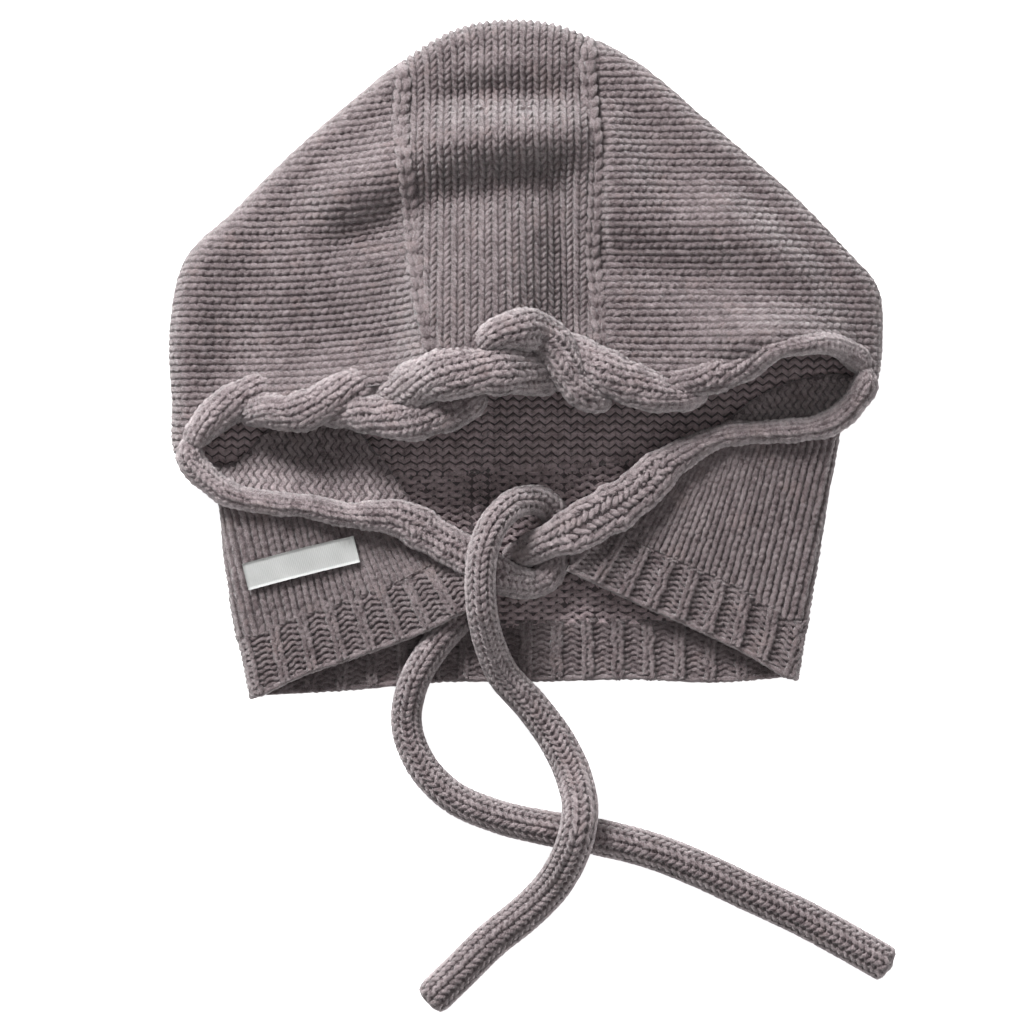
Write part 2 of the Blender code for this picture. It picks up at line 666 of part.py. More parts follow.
def cape_rows(steps, above_hem):
    """Points of the cape, round from one front tip to the other: above its hem, or the hem itself.

    steps run from 0 to 1 down the part that is asked for.
    """
    out = np.linspace(0, 1, CAPE_FRONT_COLUMNS)
    wide = np.linspace(0, 1, CAPE_BACK_COLUMNS)

    def depths(upper, lower):
        start = hem_starts(upper, lower)
        if above_hem:
            return steps[:, None] * start
        start = start + HEM_CLEARANCE / np.linalg.norm(upper - lower, axis=1)
        return start + steps[:, None] * (1 - start)

    rows = {}
    for side, edge, top, hem in (
        ("left", CAPE_FOLD_LEFT, FRONT_TOP_LEFT, FRONT_HEM_LEFT),
        ("right", CAPE_FOLD_RIGHT, FRONT_TOP_RIGHT, FRONT_HEM_RIGHT),
    ):
        upper, lower = along(top, out, "x", "y"), along(hem, out, "x", "y")
        down = depths(upper, lower)
        arc = fold_arc(edge, down[:, -1], down[:, -1], CAPE_FOLD_REACH, CAPE_HEIGHT, CAPE_FOLD_STEPS)
        plan = upper + (lower - upper) * down[..., None]
        plan = plan + (arc[:, 0, :2] - plan[:, -1])[:, None] * (out**4)[None, :, None]
        rows[side] = raised(plan, cape_height(plan[..., 0], plan[..., 1])), arc
    upper, lower = along(BACK_TOP, wide, "x", "y"), along(BACK_HEM, wide, "x", "y")
    plan = upper + (lower - upper) * depths(upper, lower)[..., None]
    left_end, right_end = rows["left"][1][:, -1, :2], rows["right"][1][:, -1, :2]
    plan = plan + (left_end - plan[:, 0])[:, None] * ((1 - wide) ** 4)[None, :, None]
    plan = plan + (right_end - plan[:, -1])[:, None] * (wide**4)[None, :, None]
    back = raised(plan, np.full(plan.shape[:2], WALL / 2))
    left_front, left_arc = rows["left"]
    right_front, right_arc = rows["right"]
    from_left = [left_front[:, :-1], left_arc]
    to_right = [right_arc[:, ::-1], right_front[:, ::-1][:, 1:]]
    return np.concatenate(from_left + [back[:, 1:-1]] + to_right, axis=1)


def resampled(grid, count):
    """Every row of a grid at count even steps of its own length."""
    rows = []
    for row in grid:
        run = np.concatenate([[0], np.cumsum(np.linalg.norm(np.diff(row, axis=0), axis=1))])
        at = np.linspace(0, run[-1], count)
        rows.append(np.stack([np.interp(at, run, row[:, k]) for k in range(3)], axis=1))
    return np.array(rows)


def grid_normals(grid):
    normals = np.cross(np.gradient(grid, axis=0), np.gradient(grid, axis=1))
    return normals / np.linalg.norm(normals, axis=2)[..., None]


def ribbed_hem(material):
    """The cape's last rows, in ribs that stand inwards."""
    plain = cape_rows(np.linspace(0, 1, HEM_ROWS), above_hem=False)
    length = np.linalg.norm(np.diff(plain[-1], axis=0), axis=1).sum()
    count = int(round(length / RIB_PITCH)) * SAMPLES_PER_RIB + 1
    grid = resampled(plain, count)
    phase = 2 * np.pi * np.arange(count) / SAMPLES_PER_RIB
    depth = RIB_DEPTH * (1 - np.cos(phase)) / 2
    inwards = grid_normals(grid)
    return sheet("ribbed_hem", grid + inwards * depth[None, :, None], material)


def tie(name, rows, material):
    route = along(rows, np.linspace(0, 1, 20 * len(rows["x"])), "x", "y", "z")
    run = np.concatenate([[0], np.cumsum(np.linalg.norm(np.diff(route, axis=0), axis=1))])
    at = np.linspace(0, run[-1], TIE_STEPS)
    even = np.stack([np.interp(at, run, route[:, k]) for k in range(3)], axis=1)
    return curve_tube(name, even, TIE_RADIUS, 2, material)


def label(material):
    """A bare woven tape, sewn down at its ends."""
    long, wide = np.meshgrid(np.linspace(-0.5, 0.5, 9), np.linspace(-0.5, 0.5, 3), indexing="ij")
    turn = np.radians(LABEL_TURN)
    u, v = long * LABEL_LENGTH, wide * LABEL_WIDTH
    x = LABEL_CENTRE[0] + u * np.cos(turn) - v * np.sin(turn)
    y = LABEL_CENTRE[1] + u * np.sin(turn) + v * np.cos(turn)
    z = cape_height(x, y) + (WALL + LABEL_THICKNESS) / 2 + LABEL_SEAT + LABEL_BOW * np.cos(np.pi * long)
    piece = sheet("label", np.stack([x, y, z], axis=-1), material)
    piece.modifiers["wall"].thickness = LABEL_THICKNESS * MM
    return piece


def build():
    for old in list(bpy.data.objects):
        bpy.data.objects.remove(old, do_unlink=True)
    body = knit("wool_knit", (0.205, 0.165, 0.168))
    rolled = knit("casing_knit", (0.225, 0.182, 0.185))
    ribbed = knit("rib_knit", (0.2, 0.16, 0.163))
    chain = knit("seam_chain", (0.24, 0.197, 0.2))
    tied = knit("tie_knit", (0.215, 0.172, 0.175))
    tape = knit("label_tape", (0.7, 0.7, 0.69), 0.45)

    turns = bpy.data.collections.new("casing_turns")
    clearance = bpy.data.collections.new("casing_clearance")
    for collection in (turns, clearance):
        bpy.context.scene.collection.children.link(collection)
    bands = [
        ("left_band", LEFT_BAND, False, True),
        ("right_band", RIGHT_BAND, True, False),
        ("left_lapel", LEFT_LAPEL, True, True),
        ("right_lapel", RIGHT_LAPEL, True, True),
    ]
    bands += [(f"brim_turn_{i + 1}", rows, True, True) for i, rows in enumerate(BRIM_TURNS)]
    for name, rows, round_start, round_end in bands:
        shape = dict(round_start=round_start, round_end=round_end)
        set_aside(tube(name + "_room", rows, rolled, extra=GAP, **shape), clearance)
        if name != "left_band":
            set_aside(tube(name, rows, rolled, **shape), turns)
    casing = tube("face_casing", LEFT_BAND, rolled, round_start=False)
    boolean(casing, "UNION", turns)

    left_top = fraction_nearest(HOOD_EDGE, LEFT_SEAM_TOP)
    right_top = fraction_nearest(HOOD_EDGE, RIGHT_SEAM_TOP)
    left_corner = fraction_nearest(HOOD_EDGE, LEFT_CORNER)
    right_corner = fraction_nearest(HOOD_EDGE, RIGHT_CORNER)
    to_side = SIDE_FROM_SEAM / HOOD_EDGE_LENGTH
    to_crown = CROWN_FROM_SEAM / HOOD_EDGE_LENGTH
    hood = [
        side_panel(
            "side_panel_left", (SEAM_LEFT, BACK_SEAM_LEFT), BRIM_LEFT, NAPE_LEFT,
            left_top - to_side, left_corner, 0.0, -1, body,
        ),
        side_panel(
            "side_panel_right", (SEAM_RIGHT, BACK_SEAM_RIGHT), BRIM_RIGHT, NAPE_RIGHT,
            right_top + to_side, right_corner, 1.0, 1, body,
        ),
        crown_panel(body, left_top + to_crown, right_top - to_crown),
        seam_cord("seam_chain_left", SEAM_LEFT, left_top, chain),
        seam_cord("seam_chain_right", SEAM_RIGHT, right_top, chain),
    ]
    cape = sheet("neck_cape", cape_rows(np.linspace(0, 1, CAPE_ROWS), above_hem=True), body)
    for piece in (*hood, cape, ribbed_hem(ribbed)):
        boolean(piece, "DIFFERENCE", clearance)
    tie("tie_left", TIE_LEFT, tied)
    tie("tie_right", TIE_RIGHT, tied)
    label(tape)


build()
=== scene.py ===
"""A child's knitted balaclava in heather wool, lying on a pale floor with its ties knotted.

Each panel is a thin ground cloth with its yarn knitted over it, loop by loop, by one Geometry
Nodes tree. The rolled casing and the ties are knitted in the round over a core. The knits'
ground cloths and the cores of the casing and ties are dark wool: painted shade between the
loops. Tables are in millimetres, in the frame that the balaclava lies in, and turn to metres.
"""

import math

import bpy
import numpy as np
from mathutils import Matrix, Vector


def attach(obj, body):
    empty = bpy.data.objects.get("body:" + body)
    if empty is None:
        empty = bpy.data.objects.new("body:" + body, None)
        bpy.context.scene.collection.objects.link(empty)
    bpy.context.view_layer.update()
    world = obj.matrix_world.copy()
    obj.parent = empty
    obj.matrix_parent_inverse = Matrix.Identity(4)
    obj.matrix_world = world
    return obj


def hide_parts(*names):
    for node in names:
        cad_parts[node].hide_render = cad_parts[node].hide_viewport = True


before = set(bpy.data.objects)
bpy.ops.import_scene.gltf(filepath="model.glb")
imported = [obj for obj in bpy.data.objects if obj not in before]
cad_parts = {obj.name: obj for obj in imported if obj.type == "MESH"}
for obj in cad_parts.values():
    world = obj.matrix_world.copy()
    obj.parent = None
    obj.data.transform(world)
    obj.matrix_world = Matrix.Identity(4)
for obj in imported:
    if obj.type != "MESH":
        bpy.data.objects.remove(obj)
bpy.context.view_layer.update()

MM = 0.001
ORIGIN = np.array([0.0, 1.1, 0.0])  # middle of the balaclava's box, on the floor

# Cloth and yarn
BACK_HEIGHT = 3.1  # middle of the back layer above the floor
BACK_SEAM_DIP = 1.1  # how much lower it lies along the centre-back seam
BACK_SEAM_DIP_WIDTH = 2.4
BACK_SEAM_LIP = 2.2  # how much the cloth rises to the left of that seam
BACK_SEAM_LIP_WIDTH = 3.5
BACK_SEAM_LIP_AT = 6.0  # from the seam
YARN_PROUD = 0.6  # how far the yarn stands out past the cloth's own outline
HAZE = 1.4  # how far the light on the yarn follows its cloth
HAZE_EDGE = 4  # how fast that sets in as the yarn turns from edge-on to facing out
GROUND = 1.4  # thickness of the ground cloth under the yarn
THIN_GROUND = 0.6  # where loops show deep
CAPE_GROUND = 0.85  # in the cape's fronts
HEM_GROUND = 0.5
HEM_GROUND_SINK = 0.15  # how far the hem's lies behind its middle
YARN = 1.12  # radius
PLUMP = 0.1  # how much thicker the yarn is where it shows on the face
LOOP_LEAN = 0.215  # how far a loop's sides lean, as a share of a wale
LOOP_REACH = 0.8  # half its height, in courses
LOOP_DEPTH = 0.56  # how far it stands out on the face and in on the back
UNEVEN = 0.22  # how far stitches stray from their places
LONGEST_STEP = 2.8  # between two points of one strand: the strand ends where a step is longer

# Stitch sizes: wale is across a column of stitches, course along it
SIDE_WALE, SIDE_COURSE = 4.8, 2.7
CROWN_WALE, CROWN_COURSE = 4.75, 2.4
CAPE_WALE, CAPE_COURSE = 5.4, 2.68
BACK_WALE, BACK_COURSE = 4.5, 2.8
ROUND_COURSE = 2.6  # of the ties

# Hood
HOOD_FOLD_REACH = 6.0  # how far its edge fold bulges out
HOOD_EDGE_HEIGHT = 15.5  # of the front layer beside that fold
HOOD_RISE = 9.5  # how much higher the front layer stands inside, and how far in it gets there
HOOD_RISE_RUN = 24.0
FOLD_RISE_RUN = 10.0  # the same run for its folds
BRIM_SWELL = 4.2  # how much the front layer rises beside the rolled brim, and how far off
BRIM_SWELL_REACH = 9.5
SEAM_CLEAR = 1.38  # from a crown seam to the cloth on either side
SIDE_FROM_SEAM = 1.2  # the same along the hood's edge
CROWN_FROM_SEAM = 0.6
BACK_SEAM_LAP = 0.9  # how far the side panels reach over the seams on the back
LEFT_SEAM_TOP = (-44.0, 103.5)
RIGHT_SEAM_TOP = (23.0, 112.0)
LEFT_CORNER = (-122.5, -29.0)
RIGHT_CORNER = (124.0, 0.0)
LEFT_BEND = 0.0016  # how the left panel's wales bend up, from LEFT_BEND_FROM inwards
LEFT_BEND_FROM = -95.0
LEFT_BEND_RUN = 60.0
CROWN_LOOPS = {"yarn": 0.82, "lean": 0.29, "depth": 0.75, "samples": 8}
SIDE_BACK_LOOPS = {"yarn": 0.9, "plump": -PLUMP, "depth": 0.8, "samples": 8, "sides": 4}

# Cape and hem
CAPE_FOLD_REACH = 4.5
CAPE_HEIGHT = 10.4  # of the front layer
CAPE_BACK_LIFT = -0.2  # how much higher the cape's back lies than the hood's
HEM_BACK_LIFT = 0.3  # and how much higher the hem's does
HEM_DEPTH = 19.0
HEM_LAP = 1.6  # how far the hem reaches up over the cape's last course
LEAST_CAPE_SHARE = 0.25  # of the depth, where the cape is short
RIB_COURSE = 2.05
RIB_HEIGHT = 1.2
BOUND_EDGE_RADIUS = 1.1
BOUND_EDGE_STEP = 1.3
CAPE_LOOPS = {
    "left": {"samples": 9, "lean": 0.16, "reach": 0.92},
    "right": {"samples": 9, "lean": 0.19, "reach": 0.86},
    "back": {
        "samples": 7, "sides": 4, "yarn": 1.06, "depth": 0.8, "lean": 0.235, "plump": -PLUMP,
    },
}
HEM_LOOPS = {
    "samples": 9, "sides": 4, "yarn": 0.88, "rib": 1.0, "plump": 0.0, "lean": 0.27, "depth": 0.36,
    "uneven": 0.5,
}
CAPE_SEEDS = (31.0, 33.0, 35.0)
FAN_LEAN = 13.0  # how far the cape's wales lean beside its fold, in degrees
FAN_MORE = 26.0  # how much more at the front tip
FAN_POWER = 2.2

# Ties
TIE_RADIUS = 4.35
TIE_END_RADIUS = 5.45
TIE_END_ROUND = 3.6  # length of the rounding at the free end
TIE_CORE = 0.97  # share of its size that is core
TIE_WALES = 6
TIE_LOOPS = {"samples": 9, "sides": 4, "yarn": 0.9, "lean": 0.27, "depth": 0.45}
TUBE_STEP = 1.4  # between a tube's rings

# Label
LABEL_LENGTH = 40.2
LABEL_WIDTH = 9.5
LABEL_THICKNESS = 0.6
LABEL_CENTRE = (-78.8, -71.6)
LABEL_TURN = 14.2
LABEL_LIFT = 2.5  # above the middle of the cape's front layer
LABEL_BOW = 0.4
LABEL_EDGE_BOW = 0.25

EDGE_POINTS = 240  # along the hood's edge, to measure from
BRIM_POINTS = 40  # along each part of the brim
FOLD_POINTS = 15  # round the hood's edge fold
CAPE_FOLD_POINTS = 11
SIDE_ROWS, SIDE_COLUMNS = 48, 34  # points of the cloths to knit on
CROWN_ROWS, CROWN_COLUMNS = 60, 36
CAPE_ROWS, HEM_ROWS = 26, 12
CAPE_COLUMNS, CAPE_BACK_COLUMNS = 34, 60


def table(columns, *rows):
    """A short table as arrays by column name."""
    return dict(zip(columns.split(), np.array(rows, float).T))


# The hood's edge from the left corner of the face, over the crown, to the right corner.
# fold is the direction in which the cloth bulges there, in degrees from +X.
HOOD_EDGE = table(
    "x y fold",
    (-110, -46, 235), (-121.5, -36, 205), (-123.6, -14, 184), (-124.2, 12, 175),
    (-118.6, 35.4, 152), (-102.4, 51, 136), (-82, 71.5, 132), (-57, 93, 118), (-44, 103.5, 104),
    (-19, 117, 98), (-5, 118.5, 90), (8, 117.5, 83), (23, 112, 76), (37, 104.5, 62), (64.4, 82, 48),
    (95.7, 54.7, 44), (111.8, 37.8, 40), (123, 24.5, 18), (124.4, 10, 0), (122.6, -8, -10),
    (119, -17, -35), (109, -28.5, -55),
)

# Seams between the crown strip and the side panels, from the top down to the brim
SEAM_LEFT = table(
    "x y",
    (-44, 97.5), (-44.5, 85), (-42.5, 69), (-40.5, 53), (-39, 37), (-36, 17), (-31, -4),
)
SEAM_RIGHT = table("x y", (22, 106), (22.5, 92), (24, 69), (24, 53), (23, 37), (25, 21), (27.5, -2))

# The same seams on the back, where the strip narrows to the centre-back seam
BACK_SEAM_LEFT = table(
    "x y",
    (-43, 98), (-37, 66), (-26, 34), (-12.3, 8), (-11.3, -12), (-11.3, -40),
)
BACK_SEAM_RIGHT = table("x y", (21, 106), (17, 66), (6, 34), (-9.7, 8), (-10.7, -12), (-10.7, -40))
CENTRE_BACK = -11.0
CROWN_TIP_LEFT = (-13.0, 8.0)
CROWN_TIP_RIGHT = (-9.0, 8.0)

# Middle line of the brim, under the roll
BRIM_LEFT = table(
    "x y",
    (-31, -4), (-44, -8), (-56, -9.5), (-66, -11), (-80, -15), (-97, -13), (-114, -24),
)
BRIM_RIGHT = table("x y", (27.5, -2), (40, -9), (55, -11), (68, -5), (84, 4.5), (98, 7), (114, 4.5))
BRIM_CROWN = table("x y", (-31, -4), (-15, -1), (2, 1), (15, 0), (27.5, -2))

# Where the hood's back joins the cape
NAPE_LEFT = table("x y", (-11.3, -40), (-60, -43), (-105.5, -42.5))
NAPE_RIGHT = table("x y", (-10.7, -40), (50, -36), (104.5, -25.5))

# Folds of the hood's front layer: a ridge or hollow at x, y, along turn degrees from +X
HOOD_FOLDS = table(
    "x y turn length width lift",
    (-6, 108, 0, 26, 7, 5.4),  # crest under the top fold
    (-7, 91, -2, 26, 7, -6.4),  # dip below it
    (-10, 77, 6, 34, 10, 7.2),  # roll across the crown
    (-58, 62, 24, 18, 10, 5.0),  # its end over the left seam
    (-14, 58, 10, 30, 9, -5.6),  # hollow below the roll
    (-55, 43, 20, 16, 9, -6.0),  # its end beyond the left seam
    (-19, 10, 2, 20, 27, 12.5),  # pillow that rises to the brim
    (14, 30, -84, 34, 7, -5.6),  # hollow between it and the right seam
    (25, 62, 90, 54, 3.6, -3.4),  # sunk right seam
    (44, 74, -66, 26, 9, -3.6),  # slope away from that seam
    (-66, 78, 34, 22, 9, 3.0),  # shoulder of the left panel
    (-84, 6, 8, 38, 30, -8.0),  # broad dip of the left panel
    (86, 41, -30, 26, 13, 8.6),  # bump of the right panel
    (48, 31, -12, 24, 11, -5.4),  # dip below it
    (94, 6, -4, 30, 9, 8.0),  # lift over the right corner
)

# The cape's outline where it folds, and its edges at the front and back
CAPE_FOLD_LEFT = table("x y fold", (-107.6, -46.5, 188), (-104.2, -80, 188), (-96.8, -119, 198))
CAPE_FOLD_RIGHT = table("x y fold", (110, -24, -8), (102.8, -66, -8), (95.6, -112.5, -14))
FRONT_TOP_LEFT = table(
    "x y",
    (-17, -75), (-30, -65.5), (-44, -55), (-62, -48), (-84, -46.5), (-104, -47.5),
)
FRONT_HEM_LEFT = table(
    "x y",
    (-14.5, -84.5), (-37, -96), (-60, -104.5), (-80, -111.5), (-90, -116.5),
)
FRONT_TOP_RIGHT = table(
    "x y",
    (17, -66), (33, -55), (47, -40), (62, -29.5), (82, -24), (105.5, -22.5),
)
FRONT_HEM_RIGHT = table("x y", (14.5, -73.5), (36, -84), (62, -95.5), (80, -104), (91.5, -110.5))
BACK_TOP = table("x y", (-106, -42), (-60, -40.8), (-11, -37.8), (50, -33), (106, -20.5))
BACK_HEM = table(
    "x y",
    (-91.2, -118.2), (-61, -116.2), (-30, -113.2), (0, -113.2), (40, -113.2), (66, -115.4),
    (91, -115.4),
)

# Where the cape's front stands higher, over the knotted ties
CAPE_RISES = table(
    "x y reach lift",
    (-20, -86, 20, 7.5), (15, -70, 16, 4.6), (-52, -84, 16, 0.9), (60, -62, 18, 1),
    (64, -34, 30, 3.4), (-82, -50, 24, 2.6),
)

# The casing below the face, from its ends in the knot out to the corners: its middle line, with
# z above the floor, and the half sizes of its section
LEFT_BAND = table(
    "x y z half_width half_depth",
    (10.5, -67, 8.8, 5, 4.4), (9, -74, 9, 5.2, 4.4), (3.5, -78.8, 10, 5.6, 4.3),
    (-2.5, -78.4, 13.8, 6, 4), (-8, -76.2, 17.4, 6.2, 3.6), (-15, -72.2, 18.4, 6.6, 3.6),
    (-25, -66.5, 17.8, 6.8, 3.8), (-36, -60, 17, 7.3, 4), (-45, -56, 16.8, 6.8, 4.2),
    (-54, -54.8, 16.8, 5.2, 4.2), (-65, -54.6, 16.4, 4.5, 4.2), (-78, -51.2, 16, 4.2, 4.2),
    (-90, -50.6, 15.5, 4.2, 4.2), (-101, -48.4, 15, 4.4, 4.2), (-111, -42.5, 14.8, 4.8, 4.5),
    (-117.3, -35.5, 15, 5, 5), (-117.5, -27.5, 16, 5, 5),
)
RIGHT_BAND = table(
    "x y z half_width half_depth",
    (118.5, -3, 16, 4.6, 5), (118.5, -9, 15.2, 4.8, 4.8), (114, -16.5, 14.8, 4.8, 4.6),
    (106, -22.5, 14.8, 4.6, 4.4), (96, -25.2, 15.2, 4.3, 4.2), (85, -25.4, 15.6, 4.2, 4.2),
    (74, -26.2, 16, 4.3, 4.2), (65, -28.4, 16.6, 4.4, 4.2), (57, -32, 17.2, 5, 4.2),
    (49, -37.5, 17.6, 6.8, 4), (40.5, -45, 17.8, 8, 3.7), (30, -52.8, 17.8, 8.6, 3.5),
    (19, -58.6, 18.2, 8.6, 3.4), (9, -63.4, 17.4, 6.6, 3.4), (1, -67.4, 12.6, 5.4, 3.8),
    (-7, -71.6, 8.6, 4.8, 4.2),
)

# Cloth of the cheeks, turned out inside the face opening: its free edge under the brim, and its
# edge along the lower casing
LEFT_CHEEK_TOP = table(
    "x y z",
    (-119.5, -33.5, 11), (-111, -37, 9.6), (-102, -36.5, 7), (-95, -29.5, 5.6), (-88, -23, 5.6),
    (-79, -20, 6.2), (-67, -20.5, 8), (-58.5, -25.5, 8.6), (-52.5, -33, 9), (-47, -40, 9.4),
    (-40.5, -49.5, 10.8), (-32, -57.5, 13),
)
LEFT_CHEEK_FOOT = table(
    "x y z",
    (-119, -34.5, 14), (-108, -43.5, 14.2), (-95, -48.5, 14.8), (-78, -50.5, 15.4),
    (-65, -53.5, 15.8), (-52, -54.5, 16.2), (-41, -58, 16.4), (-31, -63.5, 17),
)
RIGHT_CHEEK_TOP = table(
    "x y z",
    (58, -29, 14), (66, -24, 11), (73.5, -19, 9), (80, -14, 7), (89, -9.5, 5.4), (99, -6.5, 5.2),
    (109, -5.5, 6.4), (118, -7.5, 10),
)
RIGHT_CHEEK_FOOT = table(
    "x y z",
    (58, -31, 16), (68, -27.5, 15.8), (78, -26, 15.4), (90, -25, 15), (101, -23.5, 14.8),
    (111, -18, 14.6), (119, -9, 15),
)

# Turns of the roll along the brim: lift is above the hood's front layer
BRIM_TURNS = (
    table(
        "x y lift half_width half_depth",
        (-118, -31.5, -0.5, 4.6, 5), (-112.5, -23.5, 1.2, 6, 5.4), (-104.5, -16.8, 2.2, 6.6, 5.4),
        (-95.5, -12.2, 1, 6.6, 4.8), (-86, -9.5, -2.6, 5.8, 3.8),
    ),
    table(
        "x y lift half_width half_depth",
        (-101, -19.5, -2.6, 4.8, 4), (-92, -18.4, 1.4, 6, 5.4), (-81, -18.8, 2.6, 7, 6),
        (-70, -15.6, 2.8, 7.6, 6), (-59, -10, 1.4, 7.4, 5.4), (-50, -5.5, -2.2, 6.4, 4),
    ),
    table(
        "x y lift half_width half_depth",
        (-73, -20.5, -1.6, 4.8, 4.4), (-63, -18.6, 0.8, 5.8, 5), (-52, -20.2, 1.4, 7.4, 5.4),
        (-41, -20.8, 1.4, 8, 5.4), (-31, -19.6, 0.4, 7.6, 5.4), (-22, -17, -1.2, 6.4, 5),
        (-14, -12, -3, 5, 4),
    ),
    table(
        "x y lift half_width half_depth",
        (-53, -14, -2, 5.8, 4.4), (-42, -11, 1.8, 8, 6), (-30, -6.2, 3.8, 9, 6.4),
        (-17, -4.8, 4.4, 9, 6.4), (-5, -4.8, 3.4, 8.6, 6), (5, -5.8, 1.2, 7.4, 5.4),
        (13, -8, -2.2, 6, 4.2),
    ),
    table(
        "x y lift half_width half_depth",
        (-18, 1.5, -1, 3.6, 3.6), (-12, 6.8, 2.6, 5.6, 5), (-4.5, 9.6, 4.4, 7, 5.6),
        (3.5, 8.8, 5.6, 7.6, 6), (9.6, 4, 6.4, 7.4, 6), (13.2, -2.6, 6.2, 6.8, 6),
        (17.4, -9.6, 4.8, 6.2, 5.6), (23, -14.4, 2.2, 5.4, 5), (30, -15.6, -1.2, 4.4, 4.2),
    ),
    table(
        "x y lift half_width half_depth",
        (5, 5, -2, 4.6, 4.4), (14, 2.6, 2, 6.4, 5.4), (24, -2.4, 3.2, 7.6, 6),
        (35, -8.4, 3, 8.2, 6), (46, -12.4, 2, 6.8, 5.4), (56, -13.6, 0.4, 4.8, 4.8),
        (63, -12.6, -2.2, 4.2, 4),
    ),
    table(
        "x y lift half_width half_depth",
        (43, -7.6, -2.4, 4.6, 4.2), (55, -8.4, 1, 5.8, 5.2), (67, -5.6, 2.2, 6.2, 5.4),
        (77, -2.4, 2.2, 5.8, 5.2), (86, 3, 1.8, 4.2, 4.6), (98, 4.8, 1.4, 3.9, 4.4),
        (109, 4.2, 0.6, 4.2, 4.6), (116.5, -0.5, -0.4, 4.6, 4.8), (118.8, -6.5, -1.2, 4.6, 4.8),
    ),
)

# Ties, from the casing's ends to their own free ends
TIE_LEFT = table(
    "x y z",
    (10.9, -66.4, 8.6), (11.4, -60.5, 8.4), (10.2, -54.6, 9), (5.4, -50, 12.4), (-2.8, -50.2, 18.6),
    (-10.4, -56.6, 25), (-14.6, -66, 27.4), (-16, -77, 27.2), (-15.4, -88, 25), (-13, -99, 18.4),
    (-8.4, -110, 11.4), (2, -121.9, 7.2), (11.2, -134.6, 6.9), (17.2, -148, 10.6),
    (18.9, -157, 16.4), (18, -165, 19.2), (14.9, -174.8, 15.2), (8.5, -185.6, 8.8),
    (-0.7, -194.9, 6.9), (-12.4, -204.3, 6.8), (-23.1, -214.8, 6.9), (-34.6, -226, 6.9),
)
TIE_RIGHT = table(
    "x y z",
    (-8.6, -72.6, 8.3), (-12.6, -75.6, 8.1), (-17, -81.6, 8.1), (-22.8, -90, 8.4),
    (-32.6, -101.6, 9.6), (-39.6, -114, 9.2), (-42, -128, 6.2), (-37.2, -141.8, 5.9),
    (-26.5, -153.2, 6), (-9.5, -160.8, 6.1), (8, -164.8, 6.3), (26, -168, 6.5), (43.5, -172.4, 6.7),
    (61, -179.2, 6.8), (78.5, -187.4, 6.9), (96, -195.6, 6.9), (113.5, -205, 6.9),
    (128.4, -213.6, 6.9),
)


# Curves and surfaces ---------------------------------------------------------------------------


def along(rows, fractions, *columns):
    """Columns of a table at fractions of its length, on a smooth curve through its rows."""
    names = list(rows)
    values = np.stack([rows[name] for name in names], axis=1)
    steps = np.linalg.norm(np.diff(values[:, :2], axis=0), axis=1)
    knots = np.concatenate([[0.0], np.cumsum(steps)]) / steps.sum()
    slopes = np.gradient(values, knots, axis=0)
    at = np.atleast_1d(np.asarray(fractions, float))
    k = np.clip(np.searchsorted(knots, at, side="right") - 1, 0, len(knots) - 2)
    span = (knots[k + 1] - knots[k])[:, None]
    u = (at - knots[k])[:, None] / span
    smooth = (
        (2 * u**3 - 3 * u**2 + 1) * values[k]
        + (u**3 - 2 * u**2 + u) * span * slopes[k]
        + (3 * u**2 - 2 * u**3) * values[k + 1]
        + (u**3 - u**2) * span * slopes[k + 1]
    )
    return smooth[:, [names.index(name) for name in columns]]


def line_along(rows, fractions):
    """Plan points of a table's curve."""
    return along(rows, fractions, "x", "y")


def shares(count):
    """Even steps from 0 to 1."""
    return np.linspace(0, 1, count)


def fraction_nearest(rows, place):
    """The fraction of a table's curve that passes nearest to a point."""
    tries = shares(801)
    points = line_along(rows, tries)
    return tries[np.argmin(np.hypot(points[:, 0] - place[0], points[:, 1] - place[1]))]


HOOD_EDGE_LINE = line_along(HOOD_EDGE, shares(EDGE_POINTS))
BRIM_LINE = np.concatenate(
    [line_along(rows, shares(BRIM_POINTS)) for rows in (BRIM_LEFT, BRIM_CROWN, BRIM_RIGHT)]
)
HOOD_EDGE_LENGTH = np.linalg.norm(np.diff(HOOD_EDGE_LINE, axis=0), axis=1).sum()


def hood_height(x, y):
    """Middle of the hood's front layer: it rises inwards from the edge fold, with its folds."""
    x, y = np.broadcast_arrays(np.asarray(x, float), np.asarray(y, float))
    apart = np.hypot(x[..., None] - HOOD_EDGE_LINE[:, 0], y[..., None] - HOOD_EDGE_LINE[:, 1])
    inside = np.maximum(apart.min(axis=-1) - HOOD_FOLD_REACH, 0)
    rise = 1 - np.exp(-((inside / HOOD_RISE_RUN) ** 2))
    folded = 1 - np.exp(-((inside / FOLD_RISE_RUN) ** 2))
    height = HOOD_EDGE_HEIGHT + HOOD_RISE * rise
    for fx, fy, turn, length, width, lift in zip(*HOOD_FOLDS.values()):
        across, run = turned(x - fx, y - fy, turn)
        height = height + lift * folded * np.exp(-((across / width) ** 2) - (run / length) ** 4)
    return height


def brim_swell(x, y):
    """How much the cloth rises beside the rolled brim, so the roll sits in it."""
    apart = np.hypot(x[..., None] - BRIM_LINE[:, 0], y[..., None] - BRIM_LINE[:, 1]).min(axis=-1)
    return BRIM_SWELL * np.exp(-((apart / BRIM_SWELL_REACH) ** 2))


def turned(x, y, degrees):
    """Distances across and along a direction."""
    angle = np.radians(degrees)
    return y * np.cos(angle) - x * np.sin(angle), x * np.cos(angle) + y * np.sin(angle)


